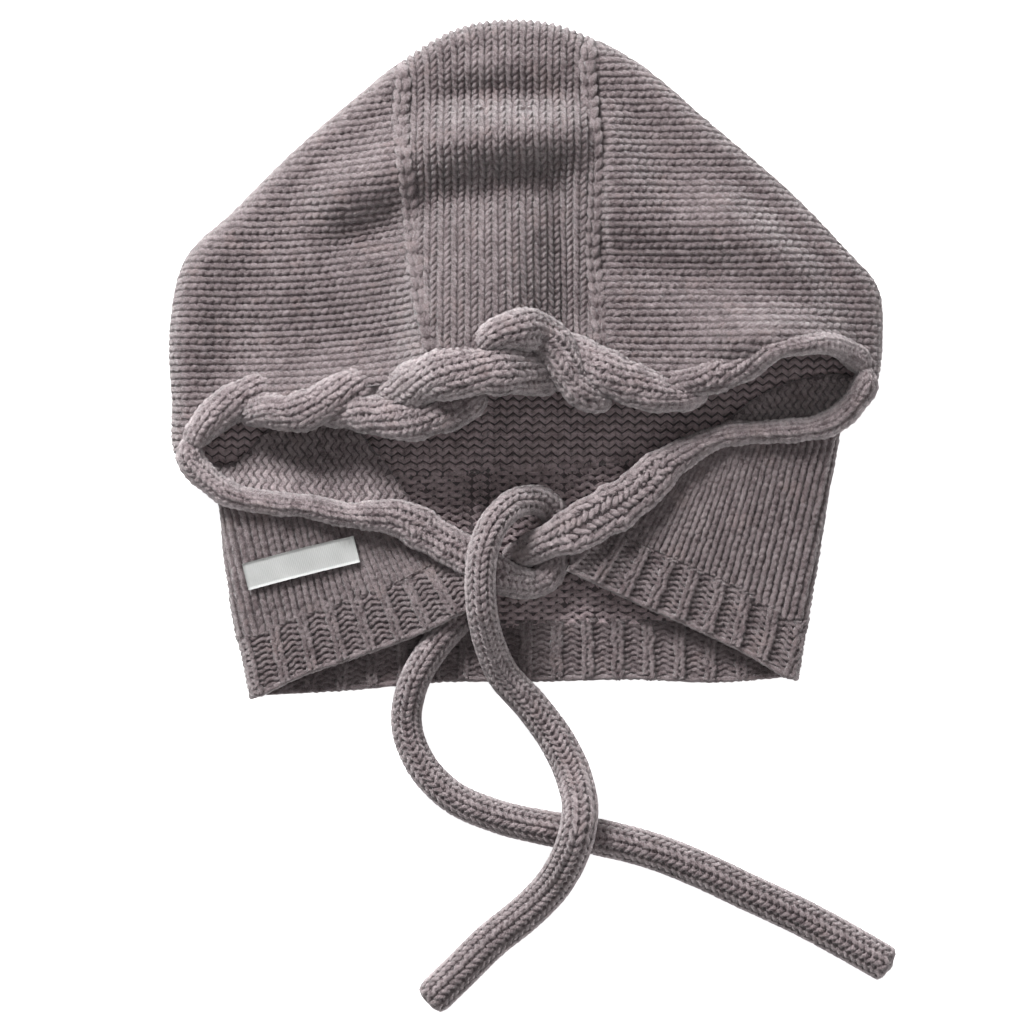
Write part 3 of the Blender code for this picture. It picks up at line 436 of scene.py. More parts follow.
def back_height(x):
    """Middle of the back layer, which dips along the centre-back seam."""
    off = x - CENTRE_BACK
    dip = BACK_SEAM_DIP * np.exp(-((off / BACK_SEAM_DIP_WIDTH) ** 2))
    lip = BACK_SEAM_LIP * np.exp(-(((off + BACK_SEAM_LIP_AT) / BACK_SEAM_LIP_WIDTH) ** 2))
    return BACK_HEIGHT - dip + lip


def cape_height(x, y):
    """Middle of the cape's front layer."""
    height = np.full(np.shape(x), CAPE_HEIGHT)
    for rx, ry, reach, lift in zip(*CAPE_RISES.values()):
        height = height + lift * np.exp(-((x - rx) ** 2 + (y - ry) ** 2) / reach**2)
    return height


def patch(left, right, top, bottom):
    """Plan points of a patch between four edges, as rows from top to bottom."""
    t = shares(len(left))[:, None, None]
    s = shares(len(top))[None, :, None]
    sides = (1 - s) * left[:, None] + s * right[:, None]
    ends = (1 - t) * top[None] + t * bottom[None]
    first = (1 - s) * left[0] + s * right[0]
    last = (1 - s) * left[-1] + s * right[-1]
    return sides + ends - ((1 - t) * first + t * last)


def raised(plan, height):
    """Plan points with their heights."""
    return np.concatenate([plan, height[..., None]], axis=-1)


def cosine(degrees):
    return np.cos(np.radians(degrees))


def sine(degrees):
    return np.sin(np.radians(degrees))


def shifted(points, dx):
    return points + np.array([dx, 0.0])


def meeting(points, first, last, power=1):
    """A line of points with its ends moved to two places, and what lies between eased after: the
    higher the power, the nearer to the ends. An end stays where its place is None."""
    share = shares(len(points))[:, None]
    moved = points.copy()
    if first is not None:
        moved += (first - points[0]) * (1 - share) ** power
    if last is not None:
        moved += (last - points[-1]) * share**power
    return moved


def lengths(points):
    """Distance run along each row of a grid, or along one line, from its start."""
    steps = np.linalg.norm(np.diff(points, axis=-2), axis=-1)
    return np.concatenate([np.zeros(steps.shape[:-1] + (1,)), np.cumsum(steps, axis=-1)], axis=-1)


def resampled(line, count):
    """Points at even steps along a line, and the distance run at each."""
    run = lengths(line)
    at = np.linspace(0, run[-1], count)
    return np.stack([np.interp(at, run, line[:, k]) for k in range(3)], axis=1), at


def fold_arc(edge, front_at, back_at, reach, height, count):
    """Points round an edge fold from front to back, a row for each place, and its direction."""
    turns = np.linspace(0, np.pi, count)
    rows, ways = [], []
    for front, back in zip(front_at, back_at):
        x, y, fold = along(edge, front + (back - front) * turns / np.pi, "x", "y", "fold").T
        out = reach * (np.sin(turns) - 1) - YARN_PROUD
        z = (height + BACK_HEIGHT) / 2 + (height - BACK_HEIGHT) / 2 * np.cos(turns)
        rows.append(np.stack([x + out * cosine(fold), y + out * sine(fold), z], axis=-1))
        ways.append([cosine(fold[0]), sine(fold[0])])
    return np.array(rows), np.array(ways)


def unrolled(arc, ways):
    """Where an edge fold's points would lie if its cloth went straight on from the front layer."""
    edgewise = np.stack([-ways[:, 1], ways[:, 0]], axis=-1)
    steps = np.diff(arc, axis=1)
    slide = (steps[..., :2] * edgewise[:, None]).sum(axis=-1)
    run = np.sqrt(np.maximum((steps**2).sum(axis=-1) - slide**2, 0))
    start = np.zeros((len(arc), 1))
    slide = np.concatenate([start, np.cumsum(slide, axis=1)], axis=1)[..., None]
    run = np.concatenate([start, np.cumsum(run, axis=1)], axis=1)[..., None]
    return arc[:, :1, :2] + run * ways[:, None] + slide * edgewise[:, None]


def outward(grid, towards):
    """Unit normals of a grid of points, on the side of towards at the grid's middle."""
    normals = np.cross(np.gradient(grid, axis=0), np.gradient(grid, axis=1))
    normals /= np.maximum(np.linalg.norm(normals, axis=2), 1e-9)[..., None]
    middle = normals[normals.shape[0] // 2, normals.shape[1] // 2]
    return normals if middle @ np.asarray(towards) > 0 else -normals


class Cloth:
    """A surface to knit on: its points, outward normals, and its place in wales and courses."""

    def __init__(self, points, stitches, towards=(0, 0, 1)):
        self.points = points
        self.stitches = stitches
        self.normals = outward(points, towards)


# Node trees ------------------------------------------------------------------------------------


class Value:
    """A node's output, with arithmetic: each operation adds a Math node."""

    def __init__(self, graph, socket):
        self.graph = graph
        self.socket = socket

    def maths(self, operation, *others):
        return self.graph.maths(operation, self, *others)

    def __add__(self, other):
        return self.maths("ADD", other)

    def __sub__(self, other):
        return self.maths("SUBTRACT", other)

    def __rsub__(self, other):
        return self.graph.maths("SUBTRACT", other, self)

    def __mul__(self, other):
        return self.maths("MULTIPLY", other)

    def __truediv__(self, other):
        return self.maths("DIVIDE", other)

    def __neg__(self):
        return self.maths("MULTIPLY", -1.0)

    def clamped(self, low, high):
        return self.maths("MAXIMUM", low).maths("MINIMUM", high)

    __radd__ = __add__
    __rmul__ = __mul__


class Graph:
    """A node tree that is written as expressions."""

    def __init__(self, tree):
        self.tree = tree

    def node(self, kind, settings=None, inputs=None):
        """Add a node, set it up, link or set its inputs, and return it for its outputs."""
        made = self.tree.nodes.new(kind)
        for name, setting in (settings or {}).items():
            setattr(made, name, setting)
        for key, value in (inputs or {}).items():
            if isinstance(value, Value):
                self.tree.links.new(value.socket, made.inputs[key])
            else:
                made.inputs[key].default_value = value
        return made

    def get(self, kind, output, settings=None, inputs=None):
        """Add a node for one of its outputs."""
        return Value(self, self.node(kind, settings, inputs).outputs[output])

    def maths(self, operation, *values):
        return self.get("ShaderNodeMath", 0, {"operation": operation}, dict(enumerate(values)))

    def vector(self, x, y, z):
        return self.get("ShaderNodeCombineXYZ", 0, None, {0: x, 1: y, 2: z})

    def vectors(self, operation, output, *vectors):
        """Vector maths: its output is Vector, or Value for a product or a distance."""
        inputs = dict(enumerate(vectors))
        return self.get("ShaderNodeVectorMath", output, {"operation": operation}, inputs)

    def scaled(self, vector, factor):
        settings = {"operation": "SCALE"}
        return self.get("ShaderNodeVectorMath", 0, settings, {0: vector, "Scale": factor})

    def noise(self, place, scale, detail, roughness=0.5, distortion=0.0):
        inputs = {"Vector": place, "Scale": scale, "Detail": detail}
        inputs.update({"Roughness": roughness, "Distortion": distortion})
        return self.get("ShaderNodeTexNoise", "Fac", None, inputs)

    def mixed(self, share, first, second):
        """A colour between two others, each a link or red, green and blue."""
        colours = [c if isinstance(c, Value) else (*c, 1) for c in (first, second)]
        inputs = {0: share, 6: colours[0], 7: colours[1]}
        return self.get("ShaderNodeMix", 2, {"data_type": "RGBA"}, inputs)

    def bump(self, height, strength, distance, **inputs):
        given = {"Height": height, "Strength": strength, "Distance": distance, **inputs}
        return self.get("ShaderNodeBump", "Normal", None, given)

    def attribute(self, name, output):
        """A shader's reading of a mesh's own attribute."""
        return self.get("ShaderNodeAttribute", output, {"attribute_name": name})

    def named(self, kind, name):
        """A geometry tree's reading of a named attribute."""
        settings = {"data_type": kind}
        return self.get("GeometryNodeInputNamedAttribute", "Attribute", settings, {"Name": name})

    def stored(self, geometry, kind, name, value):
        """The geometry with a value kept on its points."""
        settings = {"data_type": kind, "domain": "POINT"}
        inputs = {"Geometry": geometry, "Name": name, "Value": value}
        return self.get("GeometryNodeStoreNamedAttribute", 0, settings, inputs)

    def without(self, geometry, domain, chosen):
        """The geometry with its chosen points or edges deleted."""
        inputs = {"Geometry": geometry, "Selection": chosen}
        return self.get("GeometryNodeDeleteGeometry", 0, {"domain": domain}, inputs)


# Wool and the other materials --------------------------------------------------------------------

WARM_FIBRES = (0.3, 0.22, 0.215)
WOOL_SHADE = 0.56  # 0 is all dark fibres and 1 all light ones
# painted shade: how much darker the wool is painted where the yarn dips between loops
WOOL_GAP_SHADE = 0.28
WOOL_NOISES = (  # scale, detail, roughness and distortion, and the gain on the shade
    ((1300, 3.0, 0.72, 0.8), 1.9),  # fibres
    ((2700, 1.0, 0.6), 0.8),  # specks
    ((300, 1.0, 0.6), 1.2),  # stitches
    ((40, 2.0, 0.6), 0.6),  # patches
)


def principled(name, roughness, sheen=0.0, sheen_roughness=0.5, specular=0.5):
    """A material whose shader's constants are set on its own sockets."""
    material = bpy.data.materials.new(name)
    material.use_nodes = True
    graph = Graph(material.node_tree)
    shader = material.node_tree.nodes["Principled BSDF"]
    shader.inputs["Roughness"].default_value = roughness
    shader.inputs["Sheen Weight"].default_value = sheen
    shader.inputs["Sheen Roughness"].default_value = sheen_roughness
    shader.inputs["Specular IOR Level"].default_value = specular
    return material, graph, shader


def hazy_normal(graph):
    """The yarn's normal, drawn to its cloth's, as the haze of fibres evens out its light."""
    own = graph.get("ShaderNodeNewGeometry", "Normal")
    cloth = graph.attribute("cloth_normal", "Vector")
    facing = graph.vectors("DOT_PRODUCT", "Value", own, cloth)
    share = (facing * HAZE_EDGE).clamped(-1.0, 1.0) * HAZE
    both = graph.vectors("ADD", "Vector", own, graph.scaled(cloth, share))
    return graph.vectors("NORMALIZE", "Vector", both)


def wool(name, dark, light, warm=WARM_FIBRES, gaps=WOOL_GAP_SHADE):
    """Heather wool: fibres of three shades. Gaps is painted shade: how much darker it goes between
    loops, and below zero how much lighter.
    """
    material, graph, shader = principled(name, 0.95, sheen=0.65, sheen_roughness=0.5, specular=0.15)
    place = graph.get("ShaderNodeTexCoord", "Object")
    noises = [graph.noise(place, *settings) for settings, _ in WOOL_NOISES]
    parts = [(noise - 0.5) * gain for noise, (_, gain) in zip(noises, WOOL_NOISES)]
    # painted shade: the heather mix goes darker where the yarn dips between loops
    shade = sum(parts[1:], parts[0]) + WOOL_SHADE - graph.attribute("between", "Fac") * gaps
    heather = graph.mixed(shade.clamped(0.0, 1.0), dark, light)
    blush = ((graph.noise(place, 95, 2.0, 0.6) - 0.6) * 5).clamped(0.0, 0.3)
    colour = graph.mixed(blush, heather, warm)
    fluff = graph.noise(place, 2200, 4.0, 0.8, 0.5) + noises[0] * 0.9
    bump = graph.bump(fluff, 1.0, 0.0006, Normal=hazy_normal(graph))
    graph.tree.links.new(colour.socket, shader.inputs["Base Color"])
    graph.tree.links.new(bump.socket, shader.inputs["Normal"])
    return material


# Knitting ----------------------------------------------------------------------------------------

KNIT_INPUTS = (
    "Cloth", "First Wale", "Wales", "First Course", "Courses", "Samples", "Sides", "Yarn Radius",
    "Loop Lean", "Loop Reach", "Loop Depth", "Plump", "Face", "Rib", "Rib Height", "Unevenness",
    "Lowest Course", "Highest Course", "Longest Step", "Seed", "Yarn",
)
KNIT_KINDS = {"Cloth": "Geometry", "Sides": "Int", "Yarn": "Material"}  # the others are floats
STRAY = 0.8  # how fast stitches stray from their places, in turns of the noise a stitch
RIB_PINCH = -0.22  # how far a rib's sides are drawn together, in wales
RIB_CALM = 0.3  # how much less a rib's loops lean
RIB_PLUMP = 0.4  # how much thicker the yarn is on a rib's crest


def knitting_tree():
    """Rows of yarn loops over a cloth, each point placed by its wale and course on the surface."""
    tree = bpy.data.node_groups.new("knitting", "GeometryNodeTree")
    for name in KNIT_INPUTS:
        kind = "NodeSocket" + KNIT_KINDS.get(name, "Float")
        tree.interface.new_socket(name, in_out="INPUT", socket_type=kind)
    tree.interface.new_socket("Knit", in_out="OUTPUT", socket_type="NodeSocketGeometry")
    graph = Graph(tree)
    given = graph.node("NodeGroupInput")
    inputs = {name: Value(graph, given.outputs[name]) for name in KNIT_INPUTS}

    row_length = inputs["Wales"] * inputs["Samples"] + 1
    index = graph.get("GeometryNodeInputIndex", 0)
    row = ((index + 0.5) / row_length).maths("FLOOR")
    step = (index - row * row_length) / inputs["Samples"]
    turn = step * (2 * math.pi)
    wale = inputs["First Wale"] + step
    course = inputs["First Course"] + row
    ribbing = (wale * math.pi).maths("COSINE")

    stray_at = graph.vector(wale * STRAY + inputs["Seed"], course * STRAY, inputs["Seed"])
    noise_inputs = {"Vector": stray_at, "Scale": 1.0, "Detail": 1.0}
    stray = graph.get("ShaderNodeTexNoise", "Color", {"noise_dimensions": "3D"}, noise_inputs)
    strays = graph.node("ShaderNodeSeparateXYZ", None, {0: stray})
    sway, rise, swell = (
        (Value(graph, strays.outputs[k]) - 0.5) * inputs["Unevenness"] for k in range(3)
    )

    calm = 1 - inputs["Rib"] * (ribbing + 1) * RIB_CALM
    lean = inputs["Loop Lean"] * calm * (turn * 2).maths("SINE")
    pinch = inputs["Rib"] * RIB_PINCH / math.pi * (wale * math.pi).maths("SINE")
    u = wale + lean + pinch + sway
    v = course + inputs["Loop Reach"] * turn.maths("COSINE") + rise
    v = v.clamped(inputs["Lowest Course"], inputs["Highest Course"])
    knit_or_purl = (ribbing * 2.5).clamped(-1.0, 1.0)
    side = inputs["Face"] * (1 + inputs["Rib"] * (knit_or_purl - 1))
    stand = -(turn * 2).maths("COSINE")
    height = side * inputs["Loop Depth"] * stand + swell * inputs["Yarn Radius"]
    height = height + inputs["Face"] * inputs["Rib"] * inputs["Rib Height"] * (ribbing * 0.5 + 0.35)
    # where the yarn dips into the cloth between loops, for the wool's painted shade there
    between = 1 - stand.maths("ABSOLUTE")

    stitch = graph.named("FLOAT_VECTOR", "stitch")
    surface = {"Mesh": inputs["Cloth"], 2: stitch, 3: graph.vector(u, v, 0.0)}

    def sampled(value, output="Value"):
        """What the cloth has at the stitch."""
        look_up = {**surface, "Value": value}
        settings = {"data_type": "FLOAT_VECTOR"}
        return graph.get("GeometryNodeSampleUVSurface", output, settings, look_up)

    normal = sampled(graph.named("FLOAT_VECTOR", "outward"))
    position = graph.get("GeometryNodeInputPosition", 0)
    spot = graph.vectors("ADD", "Vector", sampled(position), graph.scaled(normal, height))
    found = sampled(position, "Is Valid")
    missing = graph.get("FunctionNodeBooleanMath", 0, {"operation": "NOT"}, {0: found})

    count = {"Count": row_length * inputs["Courses"]}
    points = graph.get("GeometryNodeMeshLine", 0, {"mode": "OFFSET"}, count)
    ridge = inputs["Rib"] * (ribbing * 2 - 0.6).clamped(0.0, 1.0)
    plump = 1 + inputs["Plump"] * stand + ridge * RIB_PLUMP
    marked = graph.stored(points, "BOOLEAN", "missing", missing)
    marked = graph.stored(marked, "FLOAT", "plump", plump)
    # kept for the wool's painted shade between loops
    marked = graph.stored(marked, "FLOAT", "between", between)
    marked = graph.stored(marked, "FLOAT_VECTOR", "cloth_normal", normal)
    moved = graph.get("GeometryNodeSetPosition", 0, None, {"Geometry": marked, "Position": spot})
    kept = graph.without(moved, "POINT", graph.named("BOOLEAN", "missing"))
    ends = graph.node("GeometryNodeInputMeshEdgeVertices")
    first, last = (Value(graph, ends.outputs[f"Position {k}"]) for k in (1, 2))
    gap = {0: graph.vectors("DISTANCE", "Value", first, last), 1: inputs["Longest Step"]}
    too_far = graph.get("FunctionNodeCompare", 0, {"operation": "GREATER_THAN"}, gap)
    cut = graph.without(kept, "EDGE", too_far)
    ring = {"Resolution": inputs["Sides"], "Radius": inputs["Yarn Radius"]}
    strand = {
        "Curve": graph.get("GeometryNodeMeshToCurve", 0, None, {"Mesh": cut}),
        "Profile Curve": graph.get("GeometryNodeCurvePrimitiveCircle", 0, {"mode": "RADIUS"}, ring),
        "Scale": graph.named("FLOAT", "plump"),
        "Fill Caps": True,
    }
    done = graph.get("GeometryNodeCurveToMesh", 0, None, strand)
    done = graph.get("GeometryNodeSetShadeSmooth", 0, None, {"Geometry": done})
    done = graph.get("GeometryNodeRealizeInstances", 0, None, {"Geometry": done})
    finish = {"Geometry": done, "Material": inputs["Yarn"]}
    done = graph.get("GeometryNodeSetMaterial", 0, None, finish)
    graph.node("NodeGroupOutput", None, {0: done})
    return tree


KNITTING = knitting_tree()


def grid_faces(rows, columns, first=0):
    """Faces between the points of a grid that are numbered row by row."""
    index = np.arange(rows * columns).reshape(rows, columns) + first
    corners = [index[:-1, :-1], index[1:, :-1], index[1:, 1:], index[:-1, 1:]]
    return np.stack(corners, axis=-1).reshape(-1, 4)


def new_mesh(name, points, faces, material=None):
    """A mesh in metres from points in millimetres."""
    mesh = bpy.data.meshes.new(name)
    metres = (np.asarray(points) - ORIGIN) * MM
    mesh.from_pydata(metres.tolist(), [], [list(map(int, face)) for face in faces])
    mesh.shade_smooth()
    if material:
        mesh.materials.append(material)
    return mesh


def placed(name, data):
    """A new object in the scene."""
    thing = bpy.data.objects.new(name, data)
    bpy.context.scene.collection.objects.link(thing)
    return thing


def evaluated_mesh(guide):
    graph = bpy.context.evaluated_depsgraph_get()
    return bpy.data.meshes.new_from_object(guide.evaluated_get(graph), depsgraph=graph)


def knitted(
    cloth, material, face=1.0, rib=0.0, samples=10, sides=5, yarn=YARN, lean=LOOP_LEAN,
    reach=LOOP_REACH, depth=LOOP_DEPTH, plump=PLUMP, courses=None, hold=None, uneven=UNEVEN,
    seed=0.0,
):
    """The yarn of one cloth, as a mesh. Samples are points in a stitch, and sides the yarn's own.
    Courses are the first and how many, and loops are held between the two courses of hold."""
    rows, columns = cloth.points.shape[:2]
    mesh = new_mesh("cloth", cloth.points.reshape(-1, 3), grid_faces(rows, columns))
    stitch = mesh.attributes.new("stitch", "FLOAT_VECTOR", "POINT")
    flat = np.zeros((rows * columns, 3))
    flat[:, :2] = cloth.stitches.reshape(-1, 2)
    stitch.data.foreach_set("vector", flat.astype(np.float32).ravel())
    normal = mesh.attributes.new("outward", "FLOAT_VECTOR", "POINT")
    normal.data.foreach_set("vector", cloth.normals.astype(np.float32).ravel())
    low, high = flat[:, :2].min(axis=0), flat[:, :2].max(axis=0)
    first_wale, last_wale = math.floor(low[0]), math.ceil(high[0])
    if courses is None:
        courses = (math.floor(low[1]), math.ceil(high[1]) - math.floor(low[1]) + 1)
    held = hold if hold is not None else (low[1] - 1, high[1] + 1)
    guide = placed("cloth", mesh)
    knit = guide.modifiers.new("knit", "NODES")
    knit.node_group = KNITTING
    values = {
        "First Wale": float(first_wale), "Wales": float(last_wale - first_wale),
        "First Course": float(courses[0]), "Courses": float(courses[1]),
        "Samples": float(samples), "Sides": sides, "Yarn Radius": yarn * MM,
        "Loop Lean": lean, "Loop Reach": reach, "Loop Depth": depth * MM, "Plump": plump,
        "Face": face, "Rib": rib, "Rib Height": RIB_HEIGHT * MM, "Unevenness": uneven,
        "Lowest Course": float(held[0]), "Highest Course": float(held[1]),
        "Longest Step": LONGEST_STEP * MM, "Seed": seed, "Yarn": material,
    }
    for item in KNITTING.interface.items_tree:
        if item.in_out == "INPUT" and item.name in values:
            knit[item.identifier] = values[item.name]
    made = evaluated_mesh(guide)
    guide.modifiers.remove(knit)
    bpy.data.objects.remove(guide, do_unlink=True)
    return made


def joined(name, meshes):
    """Several meshes as one piece."""
    pieces = [placed(name, mesh) for mesh in meshes]
    if len(pieces) > 1:
        with bpy.context.temp_override(
            object=pieces[0], active_object=pieces[0], selected_objects=pieces,
            selected_editable_objects=pieces,
        ):
            bpy.ops.object.join()
    piece = pieces[0]
    piece.name = name
    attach(piece, "root")
    return piece


def shell(name, cloth, material, thickness=GROUND, sink=0.0):
    """A thin closed body along the middle of a cloth, which fills the gaps between its loops. Under
    a knit its wool is dark: painted shade that shows in those gaps.
    """
    rows, columns = cloth.points.shape[:2]
    front = (cloth.points + cloth.normals * (thickness / 2 - sink)).reshape(-1, 3)
    back = (cloth.points - cloth.normals * (thickness / 2 + sink)).reshape(-1, 3)
    up = grid_faces(rows, columns)
    down = grid_faces(rows, columns, rows * columns)[:, ::-1]
    index = np.arange(rows * columns).reshape(rows, columns)
    rim = np.concatenate([index[0], index[1:, -1], index[-1, -2::-1], index[-2:0:-1, 0]])
    following = np.roll(rim, -1)
    side = np.stack([rim, following, following + rows * columns, rim + rows * columns], axis=-1)
    middle = rows // 2, columns // 2
    down_step = cloth.points[middle[0] + 1, middle[1]] - cloth.points[middle]
    out_step = cloth.points[middle[0], middle[1] + 1] - cloth.points[middle]
    if np.cross(down_step, out_step) @ cloth.normals[middle] < 0:
        up, down, side = up[:, ::-1], down[:, ::-1], side[:, ::-1]
    faces = np.concatenate([up, down, side[:, ::-1]])
    return new_mesh(name, np.concatenate([front, back]), faces, material)


def ground_cloth(name, clothes, material, node, thicknesses, sink=0.0):
    """The ground of knitted cloths, as the piece that stands for their node."""
    pairs = zip(clothes, thicknesses)
    shells = [shell(name, cloth, material, thickness, sink) for cloth, thickness in pairs]
    piece = joined(name, shells)
    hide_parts(node)
    return piece


# Hood --------------------------------------------------------------------------------------------


def hood_fold(front_at, back_at, count=FOLD_POINTS):
    """The hood's edge fold between places on its edge."""
    return fold_arc(HOOD_EDGE, front_at, back_at, HOOD_FOLD_REACH, HOOD_EDGE_HEIGHT, count)


def side_cloths(seams, brim, nape, edge_from, front_to, back_to, sign):
    """A side of the hood: its front with the edge fold, and its back."""
    down, out = shares(SIDE_ROWS), shares(SIDE_COLUMNS)
    front_at = edge_from + (front_to - edge_from) * down
    back_at = edge_from + (back_to - edge_from) * down
    arc, ways = hood_fold(front_at, back_at)
    inner = shifted(line_along(seams[0], down), sign * SEAM_CLEAR)
    top = inner[0] + (arc[0, 0, :2] - inner[0]) * out[:, None]
    bottom = meeting(line_along(brim, out), inner[-1], arc[-1, 0, :2])
    plan = patch(inner, arc[:, 0, :2], top, bottom)
    x, y = plan.transpose(2, 0, 1)
    front = raised(plan, hood_height(x, y) + brim_swell(x, y) * (1 - out**4))
    flat = np.concatenate([plan[:, :-1], unrolled(arc, ways)], axis=1)
    across = flat[..., 1]
    if sign < 0:
        bent = np.clip(flat[..., 0] - LEFT_BEND_FROM, 0, LEFT_BEND_RUN)
        across = across - LEFT_BEND * bent**2
    stitches = np.stack([across / SIDE_WALE, flat[..., 0] / SIDE_COURSE], axis=-1)
    face = Cloth(np.concatenate([front[:, :-1], arc], axis=1), stitches)

    behind = shifted(line_along(seams[1], down), -sign * BACK_SEAM_LAP)
    top = arc[0, -1, :2] + (behind[0] - arc[0, -1, :2]) * out[:, None]
    bottom = meeting(line_along(nape, 1 - out), arc[-1, -1, :2], behind[-1])
    plan = patch(arc[:, -1, :2], behind, top, bottom)
    back = raised(plan, back_height(plan[..., 0]))
    return face, Cloth(back, plan / (BACK_WALE, BACK_COURSE), towards=(0, 0, -1))


def crown_cloth(left_at, right_at):
    """The strip from the brim over the top fold and down the back to its narrow end."""
    down, across = shares(CROWN_ROWS), shares(CROWN_COLUMNS)
    edge_at = left_at + (right_at - left_at) * across
    arc, _ = hood_fold(edge_at, edge_at)
    fold = arc[:, 0, :2]
    left = meeting(shifted(line_along(SEAM_LEFT, down), SEAM_CLEAR), fold[0], None, 3)
    right = meeting(shifted(line_along(SEAM_RIGHT, down), -SEAM_CLEAR), fold[-1], None, 3)
    bottom = meeting(line_along(BRIM_CROWN, across), left[-1], right[-1])
    plan = patch(left, right, fold, bottom)
    x, y = plan.transpose(2, 0, 1)
    front = raised(plan, hood_height(x, y) + brim_swell(x, y))
    left_end = fraction_nearest(BACK_SEAM_LEFT, CROWN_TIP_LEFT)
    right_end = fraction_nearest(BACK_SEAM_RIGHT, CROWN_TIP_RIGHT)
    fold = arc[:, -1, :2]
    left = meeting(line_along(BACK_SEAM_LEFT, left_end * down), fold[0], None, 3)
    right = meeting(line_along(BACK_SEAM_RIGHT, right_end * down), fold[-1], None, 3)
    tip = left[-1] + (right[-1] - left[-1]) * across[:, None]
    behind = patch(left, right, fold, tip)
    back = raised(behind, np.full(behind.shape[:2], BACK_HEIGHT))
    arc_x = np.repeat(arc[:, :1, 0], arc.shape[1], axis=1)
    arc_flat = np.stack([arc_x, arc[:, :1, 1] + lengths(arc)], axis=-1)
    turn = arc_flat[:, -1, 1]
    back_flat = np.stack([behind[..., 0], turn + fold[:, 1] - behind[..., 1]], axis=-1)
    points = np.concatenate([front[::-1][:-1], arc.transpose(1, 0, 2), back[1:]], axis=0)
    flat = np.concatenate([plan[::-1][:-1], arc_flat.transpose(1, 0, 2), back_flat[1:]], axis=0)
    cloth = Cloth(points, flat / (CROWN_WALE, CROWN_COURSE))
    if cloth.normals[len(down) // 2, len(across) // 2, 2] < 0:
        cloth.normals *= -1  # the strip's middle is near its fold: its front has to face up
    return cloth


# Cape and hem ------------------------------------------------------------------------------------


def cape_cloths(above_hem, course):
    """The cape's left front, right front and back, either above its hem or the hem itself."""
    steps = shares(CAPE_ROWS if above_hem else HEM_ROWS)
    out, wide = shares(CAPE_COLUMNS), shares(CAPE_BACK_COLUMNS)

    def depths(upper, lower):
        """How far down each row lies, as a share of the whole depth at each column."""
        depth = np.linalg.norm(upper - lower, axis=1)
        start = np.maximum(1 - HEM_DEPTH / depth, LEAST_CAPE_SHARE)
        if above_hem:
            return steps[:, None] * start
        start = start - HEM_LAP / depth
        return start + steps[:, None] * (1 - start)

    fronts = []
    for sign, edge, top, hem in (
        (-1, CAPE_FOLD_LEFT, FRONT_TOP_LEFT, FRONT_HEM_LEFT),
        (1, CAPE_FOLD_RIGHT, FRONT_TOP_RIGHT, FRONT_HEM_RIGHT),
    ):
        upper, lower = line_along(top, out), line_along(hem, out)
        down = depths(upper, lower)
        at = down[:, -1]
        arc, ways = fold_arc(edge, at, at, CAPE_FOLD_REACH, CAPE_HEIGHT, CAPE_FOLD_POINTS)
        plan = upper + (lower - upper) * down[..., None]
        plan = plan + (arc[:, 0, :2] - plan[:, -1])[:, None] * (out**4)[None, :, None]
        front = raised(plan, cape_height(plan[..., 0], plan[..., 1]))
        flat = np.concatenate([plan[:, :-1], unrolled(arc, ways)], axis=1)
        points = np.concatenate([front[:, :-1], arc], axis=1)
        fronts.append((Cloth(points, fanned(flat, lower, sign, course)), arc[:, -1]))
    upper, lower = line_along(BACK_TOP, wide), line_along(BACK_HEM, wide)
    plan = upper + (lower - upper) * depths(upper, lower)[..., None]
    (left, left_end), (right, right_end) = fronts
    plan = plan + (left_end[:, :2] - plan[:, 0])[:, None] * ((1 - wide) ** 4)[None, :, None]
    plan = plan + (right_end[:, :2] - plan[:, -1])[:, None] * (wide**4)[None, :, None]
    flat = np.stack([plan[..., 0], plan[..., 1] - lower[:, 1]], axis=-1)
    lift = CAPE_BACK_LIFT if above_hem else HEM_BACK_LIFT
    back = raised(plan, back_height(plan[..., 0]) + lift)
    return left, right, Cloth(back, flat / (CAPE_WALE, course), towards=(0, 0, -1))


def hem_limits(cloth):
    """The courses between which a hem's loops stay, so its lower edge is bound off."""
    return cloth.stitches[..., 1].min() + 0.3, cloth.stitches[..., 1].max() + 1.0


def bound_edge(cloth, material, seed):
    """The bound-off edge of a hem: an uneven strand along its last course."""
    edge = cloth.points[-1] * 0.75 + cloth.points[-2] * 0.25
    middle, at = resampled(edge, int(lengths(edge)[-1] / BOUND_EDGE_STEP))
    size = 1 + 0.16 * np.sin(at * 2.3 + seed) + 0.08 * np.sin(at * 0.9 + seed)
    size = BOUND_EDGE_RADIUS * size
    return core("bound_edge", middle, size, size, material, 8)


def fanned(flat, hem, sign, course):
    """Wales that fan up from a slanting hem: nearly upright beside the fold, and slanting at the
    front tip. Each round of the loop moves a point's foot on the hem nearer to its place."""
    x, y = sign * flat[..., 0], flat[..., 1]
    order = np.argsort(sign * hem[:, 0])
    hem_x, hem_y = (sign * hem[:, 0])[order], hem[:, 1][order]
    run = lengths(np.stack([hem_x, hem_y], axis=-1))
    foot = x.copy()
    for _ in range(12):
        share = (foot - hem_x[0]) / (hem_x[-1] - hem_x[0])
        lean = np.radians(FAN_LEAN + FAN_MORE * np.clip(1 - share, 0, 1) ** FAN_POWER)
        above = y - np.interp(foot, hem_x, hem_y)
        foot = 0.5 * foot + 0.5 * (x - np.tan(lean) * above)
    outside = foot - np.clip(foot, hem_x[0], hem_x[-1])
    wale = (np.interp(foot, hem_x, run) + outside) / CAPE_WALE
    return np.stack([sign * wale, above / np.cos(lean) / course], axis=-1)


# Casing, seams and ties --------------------------------------------------------------------------

